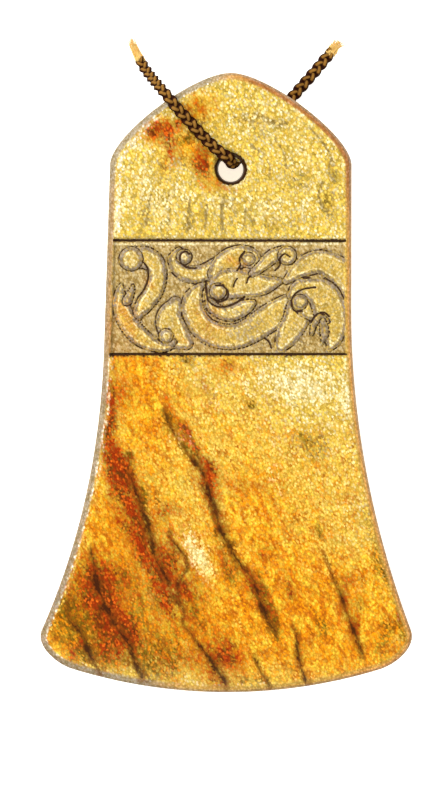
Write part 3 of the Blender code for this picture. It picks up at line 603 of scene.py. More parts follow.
def stoneSkin():
    # a grid between the outline's left and right sides, row by row, at the height of half the thickness plus
    # the carving; rings step from its border round the rim to the back, and from the hole down its wall
    around, normal, lengths = stoneOutline()
    total = lengths[-1]

    def onOutline(length):
        length = np.mod(length, total)
        return (np.stack([np.interp(length, lengths, around[:, k]) for k in (0, 1)], axis=-1),
                np.stack([np.interp(length, lengths, normal[:, k]) for k in (0, 1)], axis=-1))

    # the grid's corners on the outline: where the butt's curve is split, and where the blade's corners turn
    steps = stone["curveSteps"]
    rightCorner, leftCorner = lengths[int(3.5 * steps)], lengths[int(6.5 * steps)]
    firstSide = around[:steps]
    rightSplit = np.interp(stone["buttSplit"], firstSide[:, 0], lengths[:steps])
    leftSplit = total - rightSplit

    # heights of the rows, at each side, closer together towards the blade and towards the butt
    low, band, gapUp, hole, butt = stone["up"]
    bore = stone["holeRadius"]
    edgeTop = onOutline(np.array([rightSplit]))[0][0, 1]
    share = np.linspace(0, 1, low + 1)
    share = share * (0.62 + 0.38 * share)
    heights = []
    for corner in (leftCorner, rightCorner):
        cornerY = onOutline(np.array([corner]))[0][0, 1]
        buttShare = np.linspace(0, 1, butt + 1)
        buttShare = buttShare + 0.35 * (buttShare - buttShare**2)
        heights.append(np.concatenate([
            (cornerY + (bandLow - cornerY) * share)[:-1],
            np.linspace(bandLow, bandTop, band + 1)[:-1],
            np.linspace(bandTop, holeY - bore, gapUp + 1)[:-1],
            np.linspace(holeY - bore, holeY + bore, hole + 1)[:-1],
            holeY + bore + (edgeTop - holeY - bore) * buttShare,
        ]))
    onRight = (lengths >= rightSplit) & (lengths <= rightCorner)
    onLeft = (lengths >= leftCorner) & (lengths <= leftSplit)
    rightLengths = np.interp(heights[1], around[onRight][::-1, 1], lengths[onRight][::-1])
    leftLengths = np.interp(heights[0], around[onLeft][:, 1], lengths[onLeft])
    rightLengths[0], rightLengths[-1] = rightCorner, rightSplit
    leftLengths[0], leftLengths[-1] = leftCorner, leftSplit

    # columns: even beside the hole, and set to its width over it
    beside, over = stone["across"]
    holeShare = bore / (halfBody - stone["rimWidth"])
    sideways = np.concatenate([
        np.linspace(-1, -holeShare, beside + 1)[:-1], np.linspace(-holeShare, holeShare, over + 1)[:-1],
        np.linspace(holeShare, 1, beside + 1)])
    columns, rows = len(sideways) - 1, len(heights[0]) - 1
    s = (sideways + 1) / 2

    topLengths = leftSplit + (rightSplit + total - leftSplit) * s
    bottomLengths = leftCorner + (rightCorner - leftCorner) * s
    inset = {}
    for name, wanted in (("top", topLengths), ("bottom", bottomLengths), ("left", leftLengths),
                         ("right", rightLengths)):
        point, out = onOutline(wanted)
        inset[name] = point - out * stone["rimWidth"]

    # each row runs straight from side to side, and bends to the blade's arc or the butt's as it nears it
    left, right = inset["left"][:, None], inset["right"][:, None]
    grid = left + (right - left) * s[None, :, None]
    rowY = grid[:, :, 1].mean(axis=1)
    toBlade = (np.clip(1 - (rowY - rowY[0]) / stone["bladeBend"], 0, 1)**1.6)[:, None, None]
    aboveBend, bend = rowY - stone["buttBend"], rowY[-1] - stone["buttBend"]
    toButt = (np.clip(aboveBend / bend, 0, 1)**2)[:, None, None]
    grid = grid + (inset["bottom"] - grid[0])[None] * toBlade + (inset["top"] - grid[-1])[None] * toButt

    # round the hole squares become circles: an offset is scaled by its larger part over its length
    flat = np.broadcast_to(sideways * (halfBody - stone["rimWidth"]), grid.shape[:2])
    tall = np.broadcast_to(rowY[:, None] - holeY, grid.shape[:2])
    square = np.maximum(np.abs(flat), np.abs(tall))
    factor = square / np.maximum(np.hypot(flat, tall), 1e-9)
    circle = np.stack([flat * factor, holeY + tall * factor], axis=-1)
    near = smoothStep(*stone["holeBlend"], square)[..., None]
    grid = grid + (circle - grid) * near

    holeRows = low + band + gapUp, low + band + gapUp + hole
    holeColumns = beside, beside + over
    x, y = grid[..., 0].ravel(), grid[..., 1].ravel()
    coarseOutline = np.vstack([around[::12], around[:1]])
    edge, _ = toLine(x, y, coarseOutline)
    sunk, carved = carve(x, y, edge)
    ripple = np.sin(x / 7.1 + 1.3 * np.sin(y / 11)) * np.sin(y / 9.3 + 0.8 * np.sin(x / 6.2))
    ripple = stone["ripple"] * ripple * smoothStep(1.5, 5, edge)
    z = halfThickness(x, y) + sunk + countersink(x, y) + ripple
    front = np.stack([x, y, z], axis=1)
    nFront = len(front)
    j, i = np.meshgrid(np.arange(rows), np.arange(columns), indexing="ij")
    solid = ~((j >= holeRows[0]) & (j < holeRows[1]) & (i >= holeColumns[0]) & (i < holeColumns[1]))
    quads = [gridQuads(rows, columns, solid)]
    triangles = []
    points = [front]
    extras = {name: [values] for name, values in carved.items()}

    def addRing(ring):
        first = sum(len(p) for p in points)
        points.append(ring)
        for name in extras:
            extras[name].append(np.zeros(len(ring)))
        return np.arange(first, first + len(ring))

    # the rim: out and down from the grid's border, to the back
    j, i = borderOf(rows, columns)
    border = j * (columns + 1) + i
    borderLengths = np.concatenate([topLengths[:-1], rightLengths[::-1][:-1], bottomLengths[::-1][:-1],
                                    leftLengths[:-1]])
    outline, out = onOutline(borderLengths)
    insetLoop = outline - out * stone["rimWidth"]
    rimDrop = stone["rimWidth"] / (stone["thickness"] / 2)

    def rimRing(share, drop, side, every=1):
        place = insetLoop[::every] + out[::every] * stone["rimWidth"] * share
        half = halfThickness(place[:, 0], place[:, 1])
        return addRing(np.column_stack([place, side * half * (1 - rimDrop * drop)]))

    ring = border
    for share, drop in stone["rim"][1:]:
        following = rimRing(share, drop, 1)
        quads.append(ringQuads(ring, following))
        ring = following
    following = rimRing(*stone["rim"][-1], -1, every=2)
    triangles.append(halvingTriangles(ring, following))
    ring = following
    for share, drop in stone["rim"][-2:0:-1]:
        following = rimRing(share, drop, -1, every=2)
        quads.append(ringQuads(ring, following))
        ring = following

    # the back: every second point of the front's grid, flat
    backRows, backColumns = rows // 2, columns // 2
    backPlace = grid[::2, ::2].reshape(-1, 2)
    backZ = -halfThickness(backPlace[:, 0], backPlace[:, 1]) - countersink(backPlace[:, 0], backPlace[:, 1])
    back = addRing(np.column_stack([backPlace, backZ]))
    j, i = np.meshgrid(np.arange(backRows), np.arange(backColumns), indexing="ij")
    solid = ~((j >= holeRows[0] // 2) & (j < holeRows[1] // 2) & (i >= holeColumns[0] // 2)
              & (i < holeColumns[1] // 2))
    quads.append(gridQuads(backRows, backColumns, solid)[:, ::-1] + back[0])
    j, i = borderOf(backRows, backColumns)
    quads.append(ringQuads(ring, back[j * (backColumns + 1) + i]))

    # the wall of the hole, drilled from both faces to a slight waist
    j, i = borderOf(rows, columns, *holeRows, *holeColumns)
    ring = j * (columns + 1) + i
    mouth = front[ring]

    def wallRing(waist, height, every=1):
        wall = mouth[::every].copy()
        wall[:, :2] = (0, holeY) + (wall[:, :2] - (0, holeY)) * waist
        wall[:, 2] *= height
        return addRing(wall)

    *upper, lowest = stone["holeWall"]
    for waist, height in upper:
        following = wallRing(waist, height)
        quads.append(ringQuads(ring, following)[:, ::-1])
        ring = following
    following = wallRing(*lowest, every=2)
    triangles.append(halvingTriangles(ring, following)[:, ::-1])
    j, i = borderOf(backRows, backColumns, holeRows[0] // 2, holeRows[1] // 2, holeColumns[0] // 2,
                    holeColumns[1] // 2)
    quads.append(ringQuads(following, back[j * (backColumns + 1) + i])[:, ::-1])

    points = np.vstack(points)
    marks = {name: np.concatenate(values) for name, values in extras.items()}
    marks["edge"] = np.concatenate([edge, toLine(*points[nFront:, :2].T, coarseOutline)[0]])
    quads, triangles = np.vstack(quads), np.vstack(triangles)

    # points that no face uses, inside the hole, go
    used = np.zeros(len(points), bool)
    used[quads.ravel()] = used[triangles.ravel()] = True
    renumber = np.cumsum(used) - 1
    marks = {name: values[used] for name, values in marks.items()}
    return points[used], renumber[quads], renumber[triangles], marks


stonePoints, stoneQuads, stoneTriangles, stoneMarks = stoneSkin()
print("stone skin", len(stonePoints), "points", 2 * len(stoneQuads) + len(stoneTriangles), "triangles")


# Colour of the stone: soft stains, each (across, up, half across, half along, lean, strength) in the stone's
# own millimetres, leaning from upper left to lower right, and veins as (across, up, half width) down them.
# A few spots stand for painted light, as noted where they stand.
stains = {
    "creamAndHighlight": (
        (0.9, 100.6, 3.6, 2.6, 0, 0.9), (16.7, 74.7, 11.1, 6.3, 0, 0.85), (27.6, 71.1, 1.9, 9.7, 0, 0.4),
        (-6.5, 30.9, 3.1, 7.3, 22, 1), (-7.4, 31.9, 1.9, 4.8, 22, 0.8), (1.3, 16.5, 1.9, 3.4, 20, 0.3),
        (-12.7, 61.4, 2.9, 3.4, 20, 0.35), (-21.9, 122.9, 3.9, 6.3, 0, 0.5),
        (-0.7, 118.6, 10.2, 3.4, 0, 0.45), (3.0, 125.4, 2.7, 2.2, 0, 0.4), (16.7, 131.4, 6.8, 9.2, 0, 0.35),
        # the first spot here is a painted highlight just inside the rim at the upper left
        (-27.2, 118.1, 1.9, 5.3, 0, 0.5), (-14.6, 120.5, 4.8, 2.9, 0, 0.35),
        (7.5, 139.3, 7.3, 3.4, -12, 0.35), (13.1, 51.8, 4.8, 8.2, 12, 0.3),
        (-17.0, 116.9, 2.9, 6.3, 0, 0.4), (14.3, 115.7, 8.2, 3.4, 0, 0.35),
        (23.9, 107.3, 4.8, 2.4, 0, 0.35),
    ),
    "amber": (
        (2.2, 104.4, 2.9, 1.7, 0, 0.5), (-3.6, 89.5, 3.9, 2.2, 0, 0.6), (-24.8, 89.2, 3.4, 5.3, 15, 0.85),
        (-27.2, 82.7, 2.9, 2.4, 0, 0.6), (-6.2, 84.4, 5.8, 2.4, 0, 0.45),
        (-38.4, 15.8, 8.2, 11.1, -15, 0.95), (27.7, 9.2, 15.0, 8.2, 0, 0.9),
        (25.2, 53.0, 11.6, 14.5, 0, 0.28), (-41.3, 12.9, 3.4, 4.8, 0, 0.8), (35.7, 10.4, 4.8, 5.8, 0, 0.7),
        (-19.5, 67.5, 10.2, 14.5, 8, 0.8), (-23.8, 77.1, 5.8, 5.3, 0, 0.65),
        (1.3, 62.9, 12.1, 14.5, 0, 0.35), (4.7, 36.0, 16.9, 14.5, 20, 0.7),
        (16.8, 20.2, 27.8, 15.0, 0, 0.95), (-8.6, 15.3, 20.6, 10.2, 0, 0.95),
        (-29.7, 34.8, 15.0, 23.0, -10, 0.95), (36.6, 25.0, 7.3, 12.6, 0, 0.4),
        (-0.2, 79.3, 6.3, 2.7, 0, 0.4), (5.9, 49.3, 9.7, 9.7, 0, 0.5), (-15.6, 137.4, 3.9, 2.9, 30, 0.6),
        (-7.4, 141.9, 4.1, 3.4, 30, 0.8), (-9.8, 131.4, 2.9, 4.4, 20, 0.8),
        (-19.4, 135.0, 2.9, 2.4, 0, 0.5), (-6.0, 129.4, 1.9, 4.1, 0, 0.6), (-3.8, 124.6, 2.9, 1.9, 0, 0.5),
        (-19.5, 99.1, 1.9, 1.9, 0, 0.7), (-24.8, 92.4, 2.2, 3.4, 0, 0.5), (-29.1, 88.0, 2.7, 2.2, 0, 0.9),
        (-6.0, 92.8, 3.9, 3.4, 0, 0.55), (1.5, 104.9, 2.7, 2.2, 0, 0.55), (-28.6, 82.7, 2.9, 2.9, 0, 0.6),
        (-15.8, 129.0, 2.9, 4.8, 0, 0.4),
    ),
    "ember": (
        (-15.8, 135.7, 3.9, 2.4, 20, 0.5), (-30.7, 21.6, 2.4, 8.2, 20, 0.4),
        (-15.2, 22.6, 3.4, 6.3, 25, 0.3), (-24.3, 54.2, 3.4, 4.8, 15, 0.35),
        (-19.4, 136.2, 3.4, 1.9, 20, 0.4), (-6.2, 51.3, 1.5, 3.4, 20, 0.4), (-28.7, 61.4, 1.7, 9.7, 2, 0.6),
        (-32.6, 22.6, 2.9, 9.7, 15, 0.4), (-0.7, 77.9, 2.4, 1.2, 0, 0.3), (-13.2, 131.4, 1.9, 4.8, 10, 0.5),
        (-6.2, 51.8, 2.4, 6.3, 20, 0.45), (-17.1, 30.4, 2.9, 5.3, 22, 0.6),
        (-3.1, 124.1, 3.4, 1.0, 0, 0.45), (0.3, 131.4, 1.2, 0.7, 0, 0.1), (-24.3, 72.3, 2.9, 4.4, 10, 0.35),
        (27.7, 21.4, 1.9, 6.3, 20, 0.3), (-28.2, 66.3, 1.7, 12.4, 2, 0.68),
        (-26.7, 53.2, 2.4, 5.8, 8, 0.95), (-24.1, 44.0, 2.4, 6.8, 22, 0.95),
        (-20.5, 35.7, 2.2, 5.8, 25, 0.85), (-17.1, 28.0, 1.7, 4.4, 22, 0.7),
        (-11.5, 63.9, 1.2, 3.1, 27, 0.75), (-9.8, 60.5, 1.2, 1.9, 27, 0.5),
        (-6.7, 53.7, 2.2, 4.4, 20, 0.55), (-4.3, 45.0, 1.7, 4.8, 20, 0.5), (-14.7, 43.0, 3.6, 1.7, 0, 0.5),
        (-11.8, 24.6, 2.2, 1.9, 0, 0.8), (-14.2, 36.0, 1.5, 3.9, 20, 0.45),
        (-32.1, 24.6, 2.2, 7.3, 12, 0.75), (-28.7, 17.3, 3.1, 5.8, 25, 0.9),
        (-25.8, 11.9, 2.9, 3.4, 20, 0.8), (-29.7, 28.7, 3.9, 4.8, 0, 0.35), (-1.1, 9.2, 4.1, 4.1, 10, 0.75),
        (-4.0, 2.1, 3.6, 1.7, 0, 0.65), (-17.1, 0.6, 3.4, 1.9, 0, 0.4), (5.2, 24.6, 2.2, 4.8, 30, 0.6),
        (9.0, 19.7, 1.9, 3.4, 25, 0.5), (-1.4, 32.3, 1.2, 4.4, 20, 0.4), (7.6, 33.6, 2.9, 2.2, 0, 0.3),
        (-37.7, 8.7, 4.4, 1.2, 60, 0.6), (14.4, 26.3, 1.2, 3.4, 8, 0.45), (27.7, 24.6, 1.2, 4.4, 20, 0.45),
        (31.8, 22.1, 1.7, 2.2, 0, 0.5), (30.6, 15.3, 1.5, 3.4, 15, 0.5), (40.0, 17.3, 0.7, 2.2, 10, 0.5),
        (16.8, 10.4, 2.4, 3.1, 0, 0.35), (27.7, 28.7, 1.0, 1.9, 15, 0.35), (1.0, 51.8, 4.8, 2.9, 0, 0.25),
        (-14.7, 25.0, 10.2, 15.0, 20, 0.35), (-34.1, 22.6, 8.7, 14.5, 15, 0.35),
        (-9.9, 8.0, 12.1, 4.8, 0, 0.3), (-0.7, 80.0, 2.9, 1.7, 0, 0.3), (-7.4, 74.7, 2.9, 2.4, 0, 0.35),
        (-7.2, 142.4, 2.9, 2.2, 30, 0.45), (-12.2, 139.1, 1.7, 1.9, 20, 0.65),
        (-15.3, 133.8, 1.7, 3.9, 0, 0.7), (-14.1, 129.0, 1.5, 2.2, 0, 0.6),
        (-7.4, 128.2, 1.5, 3.1, 0, 0.75), (-6.4, 131.4, 1.0, 1.9, 0, 0.5),
        (-20.2, 135.9, 2.9, 1.7, -30, 0.5), (-1.6, 122.7, 2.9, 0.7, 0, 0.4),
        (-14.7, 71.6, 1.0, 3.4, 15, 0.35), (29.3, 46.9, 2.4, 1.9, 0, 0.2), (24.0, 37.2, 2.9, 1.9, 0, 0.22),
    ),
    "mossAndShade": (
        (-31.6, 22.6, 1.5, 6.8, 20, 0.6), (-19.5, 26.3, 2.9, 5.3, 22, 0.3),
        (-27.2, 49.3, 1.5, 4.4, 15, 0.3), (-38.4, 17.3, 4.8, 8.2, 20, 0.5), (-32.9, 9.2, 5.8, 3.9, 0, 0.4),
        (-22.0, 9.2, 4.8, 4.8, 20, 0.3), (7.6, 22.1, 2.4, 6.3, 24, 0.35), (-24.1, 57.3, 1.5, 1.7, 0, 0.85),
        (-21.7, 46.4, 1.2, 3.6, 8, 0.9), (-19.5, 39.1, 1.2, 2.4, 15, 0.6),
        (-14.4, 66.8, 1.5, 2.7, 33, 0.55), (-10.8, 59.0, 1.2, 3.4, 33, 0.75),
        (-4.3, 42.1, 1.0, 4.4, 15, 0.6), (-1.1, 36.0, 1.5, 2.7, 22, 0.55), (6.9, 23.6, 1.5, 4.1, 24, 0.6),
        (10.0, 17.3, 1.7, 2.4, 20, 0.65), (19.6, 59.7, 4.8, 2.7, 0, 0.35), (20.6, 40.8, 1.5, 1.5, 0, 0.55),
        (15.1, 41.3, 1.2, 1.9, 0, 0.3), (4.9, 69.2, 1.1, 1.1, 0, 0.8), (-35.1, 10.9, 1.2, 6.3, 28, 0.7),
        (-38.9, 16.5, 1.9, 3.6, 20, 0.5), (-27.3, 29.4, 3.9, 4.4, 0, 0.4),
        (-22.9, 20.2, 2.9, 4.4, 20, 0.35), (5.4, 3.6, 5.8, 1.7, 0, 0.4), (21.6, 14.8, 2.4, 2.7, 0, 0.35),
        # the first two here are painted shade down the right edge
        (39.0, 23.6, 1.2, 14.5, 14, 0.6), (33.2, 51.8, 1.0, 15.0, 7, 0.4), (37.6, 6.0, 3.4, 1.2, -60, 0.45),
        (-11.0, 79.6, 2.4, 2.2, 0, 0.3), (30.7, 71.1, 0.7, 9.7, 3, 0.3), (-30.4, 16.5, 4.4, 8.2, 20, 0.4),
        (-15.9, 9.9, 5.3, 6.3, 25, 0.45), (-19.6, 5.0, 5.8, 2.9, 0, 0.35), (-8.4, 20.2, 2.2, 6.3, 20, 0.35),
        (-35.5, 22.6, 3.4, 7.3, 0, 0.35), (-0.2, 28.7, 1.2, 3.4, 20, 0.3), (-10.8, 52.2, 2.2, 2.9, 0, 0.2),
        (-6.0, 48.6, 1.2, 3.9, 20, 0.5), (-17.1, 46.9, 1.5, 2.4, 10, 0.25),
        (-15.2, 33.6, 1.7, 2.9, 10, 0.4), (-32.1, 20.2, 1.7, 4.8, 12, 0.45),
        (24.9, 127.0, 1.2, 2.9, 5, 0.45), (23.0, 120.1, 1.7, 3.1, 0, 0.5), (24.9, 116.2, 1.2, 2.9, 0, 0.35),
        (-9.3, 134.0, 1.7, 3.9, -42, 0.55), (-17.0, 126.6, 2.2, 2.7, 0, 0.35),
        (-5.7, 139.3, 1.9, 1.5, 0, 0.3), (-9.8, 127.5, 3.4, 2.4, 0, 0.25), (7.5, 136.2, 3.4, 3.9, 0, 0.2),
        (15.2, 123.9, 3.4, 3.9, 0, 0.2), (9.0, 114.0, 2.2, 3.1, 0, 0.35), (-6.2, 115.7, 1.5, 4.8, 0, 0.3),
        (-21.9, 113.3, 1.2, 5.3, 0, 0.25), (4.6, 114.0, 1.0, 3.4, 0, 0.3),
        (-13.4, 113.3, 1.5, 4.4, 0, 0.25), (16.7, 114.0, 1.9, 1.5, 0, 0.25),
        (37.4, 12.9, 2.2, 3.4, 0, 0.35), (14.4, 6.8, 3.4, 2.4, 0, 0.25),
    ),
}
veins = (
    ((-15.8, 68.4, 0.15), (-13.5, 62.9, 0.32), (-10.3, 57.8, 0.39), (-6.6, 52.2, 0.36),
     (-4.1, 44.9, 0.53), (-2.6, 39.4, 0.39), (-0.6, 36.2, 0.24), (0.8, 33.0, 0.19), (3.9, 29.4, 0.36),
     (6.1, 25.6, 0.58), (7.6, 20.6, 0.53), (9.7, 17.0, 0.29), (11.0, 14.8, 0.1)),
    ((-24.8, 53.2, 0.07), (-23.4, 49.3, 0.22), (-21.4, 44.9, 0.44), (-19.2, 38.1, 0.41),
     (-17.7, 32.5, 0.29), (-15.2, 26.2, 0.19), (-13.5, 22.6, 0.12), (-11.5, 20.1, 0.17),
     (-11.8, 17.0, 0.19), (-9.1, 13.3, 0.24), (-5.3, 8.2, 0.39), (-2.1, 3.4, 0.53), (-1.1, 1.7, 0.29)),
    ((-14.5, 38.1, 0.05), (-13.2, 35.9, 0.15), (-11.3, 33.0, 0.24), (-10.9, 30.0, 0.19),
     (-12.8, 27.0, 0.22), (-13.1, 23.1, 0.17), (-12.0, 21.6, 0.1)),
    ((-34.5, 35.2, 0.1), (-33.8, 33.0, 0.36), (-32.8, 28.2, 0.39), (-31.6, 23.1, 0.58),
     (-29.4, 18.8, 0.58), (-27.0, 15.0, 0.39), (-24.9, 12.0, 0.34), (-23.7, 9.0, 0.49),
     (-22.5, 5.8, 0.53), (-21.3, 3.4, 0.24)),
    ((22.0, 34.2, 0.07), (22.7, 32.5, 0.17), (24.9, 27.0, 0.27), (27.3, 21.9, 0.32),
     (28.9, 17.6, 0.32), (30.6, 12.9, 0.36), (31.9, 9.2, 0.1)),
    ((15.1, 15.8, 0.07), (16.0, 13.8, 0.19), (16.6, 8.2, 0.41), (18.1, 2.6, 0.39), (18.7, 1.2, 0.19)),
    ((6.1, 8.5, 0.07), (7.3, 6.4, 0.22), (9.1, 2.2, 0.22), (9.5, 1.2, 0.1)),
    ((-39.9, 19.7, 0.15), (-38.7, 17.0, 0.29), (-35.3, 12.6, 0.44), (-32.6, 7.0, 0.39),
     (-31.5, 4.6, 0.15)),
)
# grey patches in the band, added to its painted grey shade
bandGrey = (
    (4.6, 89.2, 5.8, 4.8, 0, 0.6), (-2.1, 98.6, 3.9, 1.3, 0, 0.3), (-9.8, 104.4, 5.3, 1.9, 0, 0.4),
    (25.1, 99.6, 4.4, 2.2, -20, 0.4), (-19.5, 106.1, 1.9, 2.2, 0, 0.3),
    (16.7, 104.4, 5.3, 1.9, 0, 0.35), (-24.8, 95.2, 1.9, 3.9, 0, 0.3), (16.7, 86.8, 4.8, 3.4, 0, 0.25),
    (-8.6, 88.0, 1.9, 4.4, -20, 0.3),
)
wisps = (
    ((0.5, 139.5), (5.8, 140.0), (9.0, 138.8), (13.8, 137.9)),
    ((2.2, 138.3), (7.5, 138.3), (10.9, 137.6), (14.0, 136.9)),
    ((4.6, 132.3), (7.5, 130.9), (9.0, 128.5), (9.5, 125.1)),
    ((10.9, 133.8), (12.6, 130.9), (13.3, 127.5)),
    ((3.7, 118.1), (3.2, 112.6)),
    ((24.4, 129.4), (23.7, 127.5), (24.2, 124.9)),
    ((22.0, 123.4), (21.3, 120.8), (22.0, 117.9), (23.9, 116.2)),
    ((-5.7, 118.1), (-6.2, 112.1)),
    ((-9.8, 119.3), (-10.5, 112.1)),
    ((-19.4, 120.3), (-20.4, 113.3)),
    ((-2.1, 118.6), (-2.1, 112.1)),
    ((19.1, 136.7), (22.0, 133.3), (23.9, 130.4)),
)
jade = {
    "gold": "#d3b54f",  # the body of the stone, with paler and greener grains in it
    "milk": "#dcd2ab",
    "straw": "#dfbe52",  # where the milky clouds lie in amber
    "white": "#e9e3d6",
    "olive": "#a59445",
    "amber": "#d98a0a",
    "honey": "#e0b633",  # paler streaks in the amber
    "resin": "#b8670a",  # and darker
    "ember": "#8c2b02",
    "flame": "#cf6014",  # the brighter grains among it
    "umber": "#5f2a05",  # dark streaks in the ember
    # moss green stains, and the painted shade down the right edge
    "mossAndShade": "#6a5208",
    "haze": "#8f7d4c",
    "vein": "#2c1003",
    "veinShade": "#663505",
    "khaki": "#a88d4c",  # the band, where polish never reached
    # painted grey shade round the band's figures, and its grey patches
    "shadeGrey": "#7f736a",
    "ground": "#8f7750",  # the sunk ground between its figures, darkened as painted shade in the hollow
    # painted dark shade in the cuts, the band's lines and round the hole's mouth
    "hollowShadeBrown": "#301a0b",
    "ash": "#8f8578",  # the rim at the left, painted grey as a cool reflection
    "rust": "#a06338",  # and at the upper right, darker as painted shade
    "peach": "#d79c55",  # and down the right
    "tan": "#a17c55",
    "veinLean": 27.0,
    "cloudSize": 3.0,
    "grainSize": 0.45,
    "drift": 1.5,  # how far the edges of the stains stray
}


def stainField(x, y, spots):
    # 1 less the product of (1 - strength exp(-q2)) over the spots, q being the distance in half widths
    clear = np.ones(len(x))
    for across, up, wide, tall, lean, strength in spots:
        c, s = math.cos(math.radians(lean)), math.sin(math.radians(lean))
        dx, dy = x - across, y - up
        q = ((dx * c + dy * s) / wide) ** 2 + ((dx * s - dy * c) / tall) ** 2
        clear *= 1 - strength * np.exp(-q)
    return 1 - clear


def veinOffsets(x, y, vein):
    # how far across from the vein, its half width at that height (below 0 past its ends), and its shade
    line = smoothThrough(vein, 6)[::-1]
    width = np.interp(y, line[:, 1], line[:, 2]) * (0.85 + 1.2 * softNoise(x, y, 2.4, 41))
    past = np.maximum(line[0, 1] - y, y - line[-1, 1])
    slope = np.gradient(line[:, 0], line[:, 1])
    straight = np.sqrt(1 + np.interp(y, line[:, 1], slope) ** 2)
    offset = (x - np.interp(y, line[:, 1], line[:, 0])) / straight
    shade = np.exp(-(offset / (1.6 * np.abs(width) + 0.5)) ** 2) * smoothStep(2.5, 0, past)
    return np.column_stack([offset, np.where(past > 0, -past, width), shade])


def markStone():
    # how much of each stain, mark and rim colour every point takes, and its offsets from the veins
    x, y, z = stonePoints.T
    # they stray from where they are set: the place is moved by noise drawn out along the lean
    c, s = math.cos(math.radians(jade["veinLean"])), math.sin(math.radians(jade["veinLean"]))
    acrossLean, alongLean = x * c + y * s, (y * c - x * s) / 2.2
    strayX = softNoise(acrossLean, alongLean, 4.2, 11) + 0.55 * softNoise(acrossLean, alongLean, 1.9, 12)
    strayY = 1.4 * softNoise(acrossLean, alongLean, 4.8, 13) + 0.7 * softNoise(acrossLean, alongLean, 2.1, 14)
    strayX, strayY = jade["drift"] * strayX, jade["drift"] * strayY
    offsets = [veinOffsets(x + 0.3 * strayX, y, vein) for vein in veins]
    edge = stoneMarks["edge"]
    left = smoothStep(8, -8, x)
    holeDistance = np.hypot(x, y - holeY)
    inBand = ((y > bandLow) & (y < bandTop)).astype(float)
    # painted highlights: a pale line inside the rim, one under the band's upper line, and one round the
    # hole's lower right, on its countersink
    rimLight = np.exp(-((edge - 2.0) / 0.5) ** 2)
    upperStrip = np.exp(-((bandTop - y - 1.05) / 0.32) ** 2) * inBand
    halo = np.exp(-((holeDistance - 4.05) / 0.35) ** 2) * smoothStep(-3, 3, x - (y - holeY))
    marks = {name: stainField(x + strayX, y + strayY, spots) for name, spots in stains.items()}
    marks["veinShade"] = np.max([o[:, 2] for o in offsets], axis=0)
    # faint grey lines above the band, and upright streaks between it and the hole
    faint = np.min([np.abs(toLine(x, y, smoothThrough(line, 5))[0]) for line in wisps], axis=0)
    upright = np.clip(softNoise(x, y / 9, 1.4, 21), 0, 1) * smoothStep(108, 112, y) * smoothStep(127, 118, y)
    upright = 0.4 * upright * smoothStep(25, 21, np.abs(x))
    marks["wisp"] = np.clip(0.75 * np.exp(-(faint / 0.42) ** 2) + upright, 0, 1)
    offBlade = 1 - 0.85 * smoothStep(12, 7, y)
    rimHighlight = rimLight * (0.2 + 0.25 * left * offBlade) * (1 - inBand * 0.6)
    # the cream stains also carry the painted highlights of the rim and of the hole
    marks["creamAndHighlight"] = np.clip(marks["creamAndHighlight"] + rimHighlight + 0.8 * halo, 0, 1.3)
    leftGleam = 0.1 + left * offBlade * (0.6 + 0.4 * smoothStep(95, 60, y))
    marks["gleam"] = np.exp(-((edge - 1.4) / 0.26) ** 2) * leftGleam * (1 - 0.7 * inBand)
    marks["gleam"] *= 0.55 + 0.45 * np.sin(2 * np.pi * (y + 0.5 * x) / 1.1)  # it breaks into dots
    upperLeft = smoothStep(-14, -24, x) * smoothStep(bandTop, bandTop + 3, y)
    marks["gleam"] = np.maximum(marks["gleam"], 0.62 * upperLeft * np.exp(-((edge - 2.5) / 0.8) ** 2))
    # the hole: a painted shadow ring round its mouth, and its bore painted pale as if lit
    inBore = (holeDistance < 3.45) & (z < 0.2)
    ring = 1.6 * np.exp(-((holeDistance - stone["holeRadius"]) / 0.56) ** 2)
    marks["incised"] = np.maximum(stoneMarks["incised"], np.where(inBore, 0, ring))
    marks["creamAndHighlight"] = np.where(inBore, 1, marks["creamAndHighlight"])
    for name in ("shaded", "strokes", "lit", "open"):
        marks[name] = stoneMarks[name]
    # the band's painted grey shade with its grey patches, and the painted highlight under its upper line
    marks["shaded"] = np.maximum(marks["shaded"], inBand * stainField(x + strayX, y + strayY, bandGrey))
    marks["lit"] = np.maximum(marks["lit"], 1.2 * upperStrip)
    # the rim's lip, where its colour is darkened as painted shade
    marks["lip"] = smoothStep(0.75, 0.3, edge)
    marks["band"] = inBand * smoothStep(1.4, 1.9, edge)
    marks["rim"] = smoothStep(1.62, 1.38, edge)
    # where the rim's colours change by side as painted light and shade: grey at the left, darker at the upper
    # right
    marks["rimLeft"] = smoothStep(4, -6, x) * np.clip(smoothStep(1, 8, y) + smoothStep(-8, -24, x), 0, 1)
    marks["rimBlade"] = smoothStep(6, 2, y) * (1 - marks["rimLeft"])
    marks["rimUpperRight"] = smoothStep(0, 6, x) * smoothStep(bandTop + 2, bandTop + 16, y)
    marks["rimInner"] = smoothStep(0.9, 1.15, edge) * smoothStep(0, 6, x) * (1 - marks["rimUpperRight"])
    # tan, high on the left
    marks["rimLeftTan"] = np.where(x < 0, smoothStep(128, 118, y) * smoothStep(60, 96, y), 0)
    return marks, offsets


marks, offsets = markStone()
print("colours", len(marks), "marks and", len(offsets), "veins")


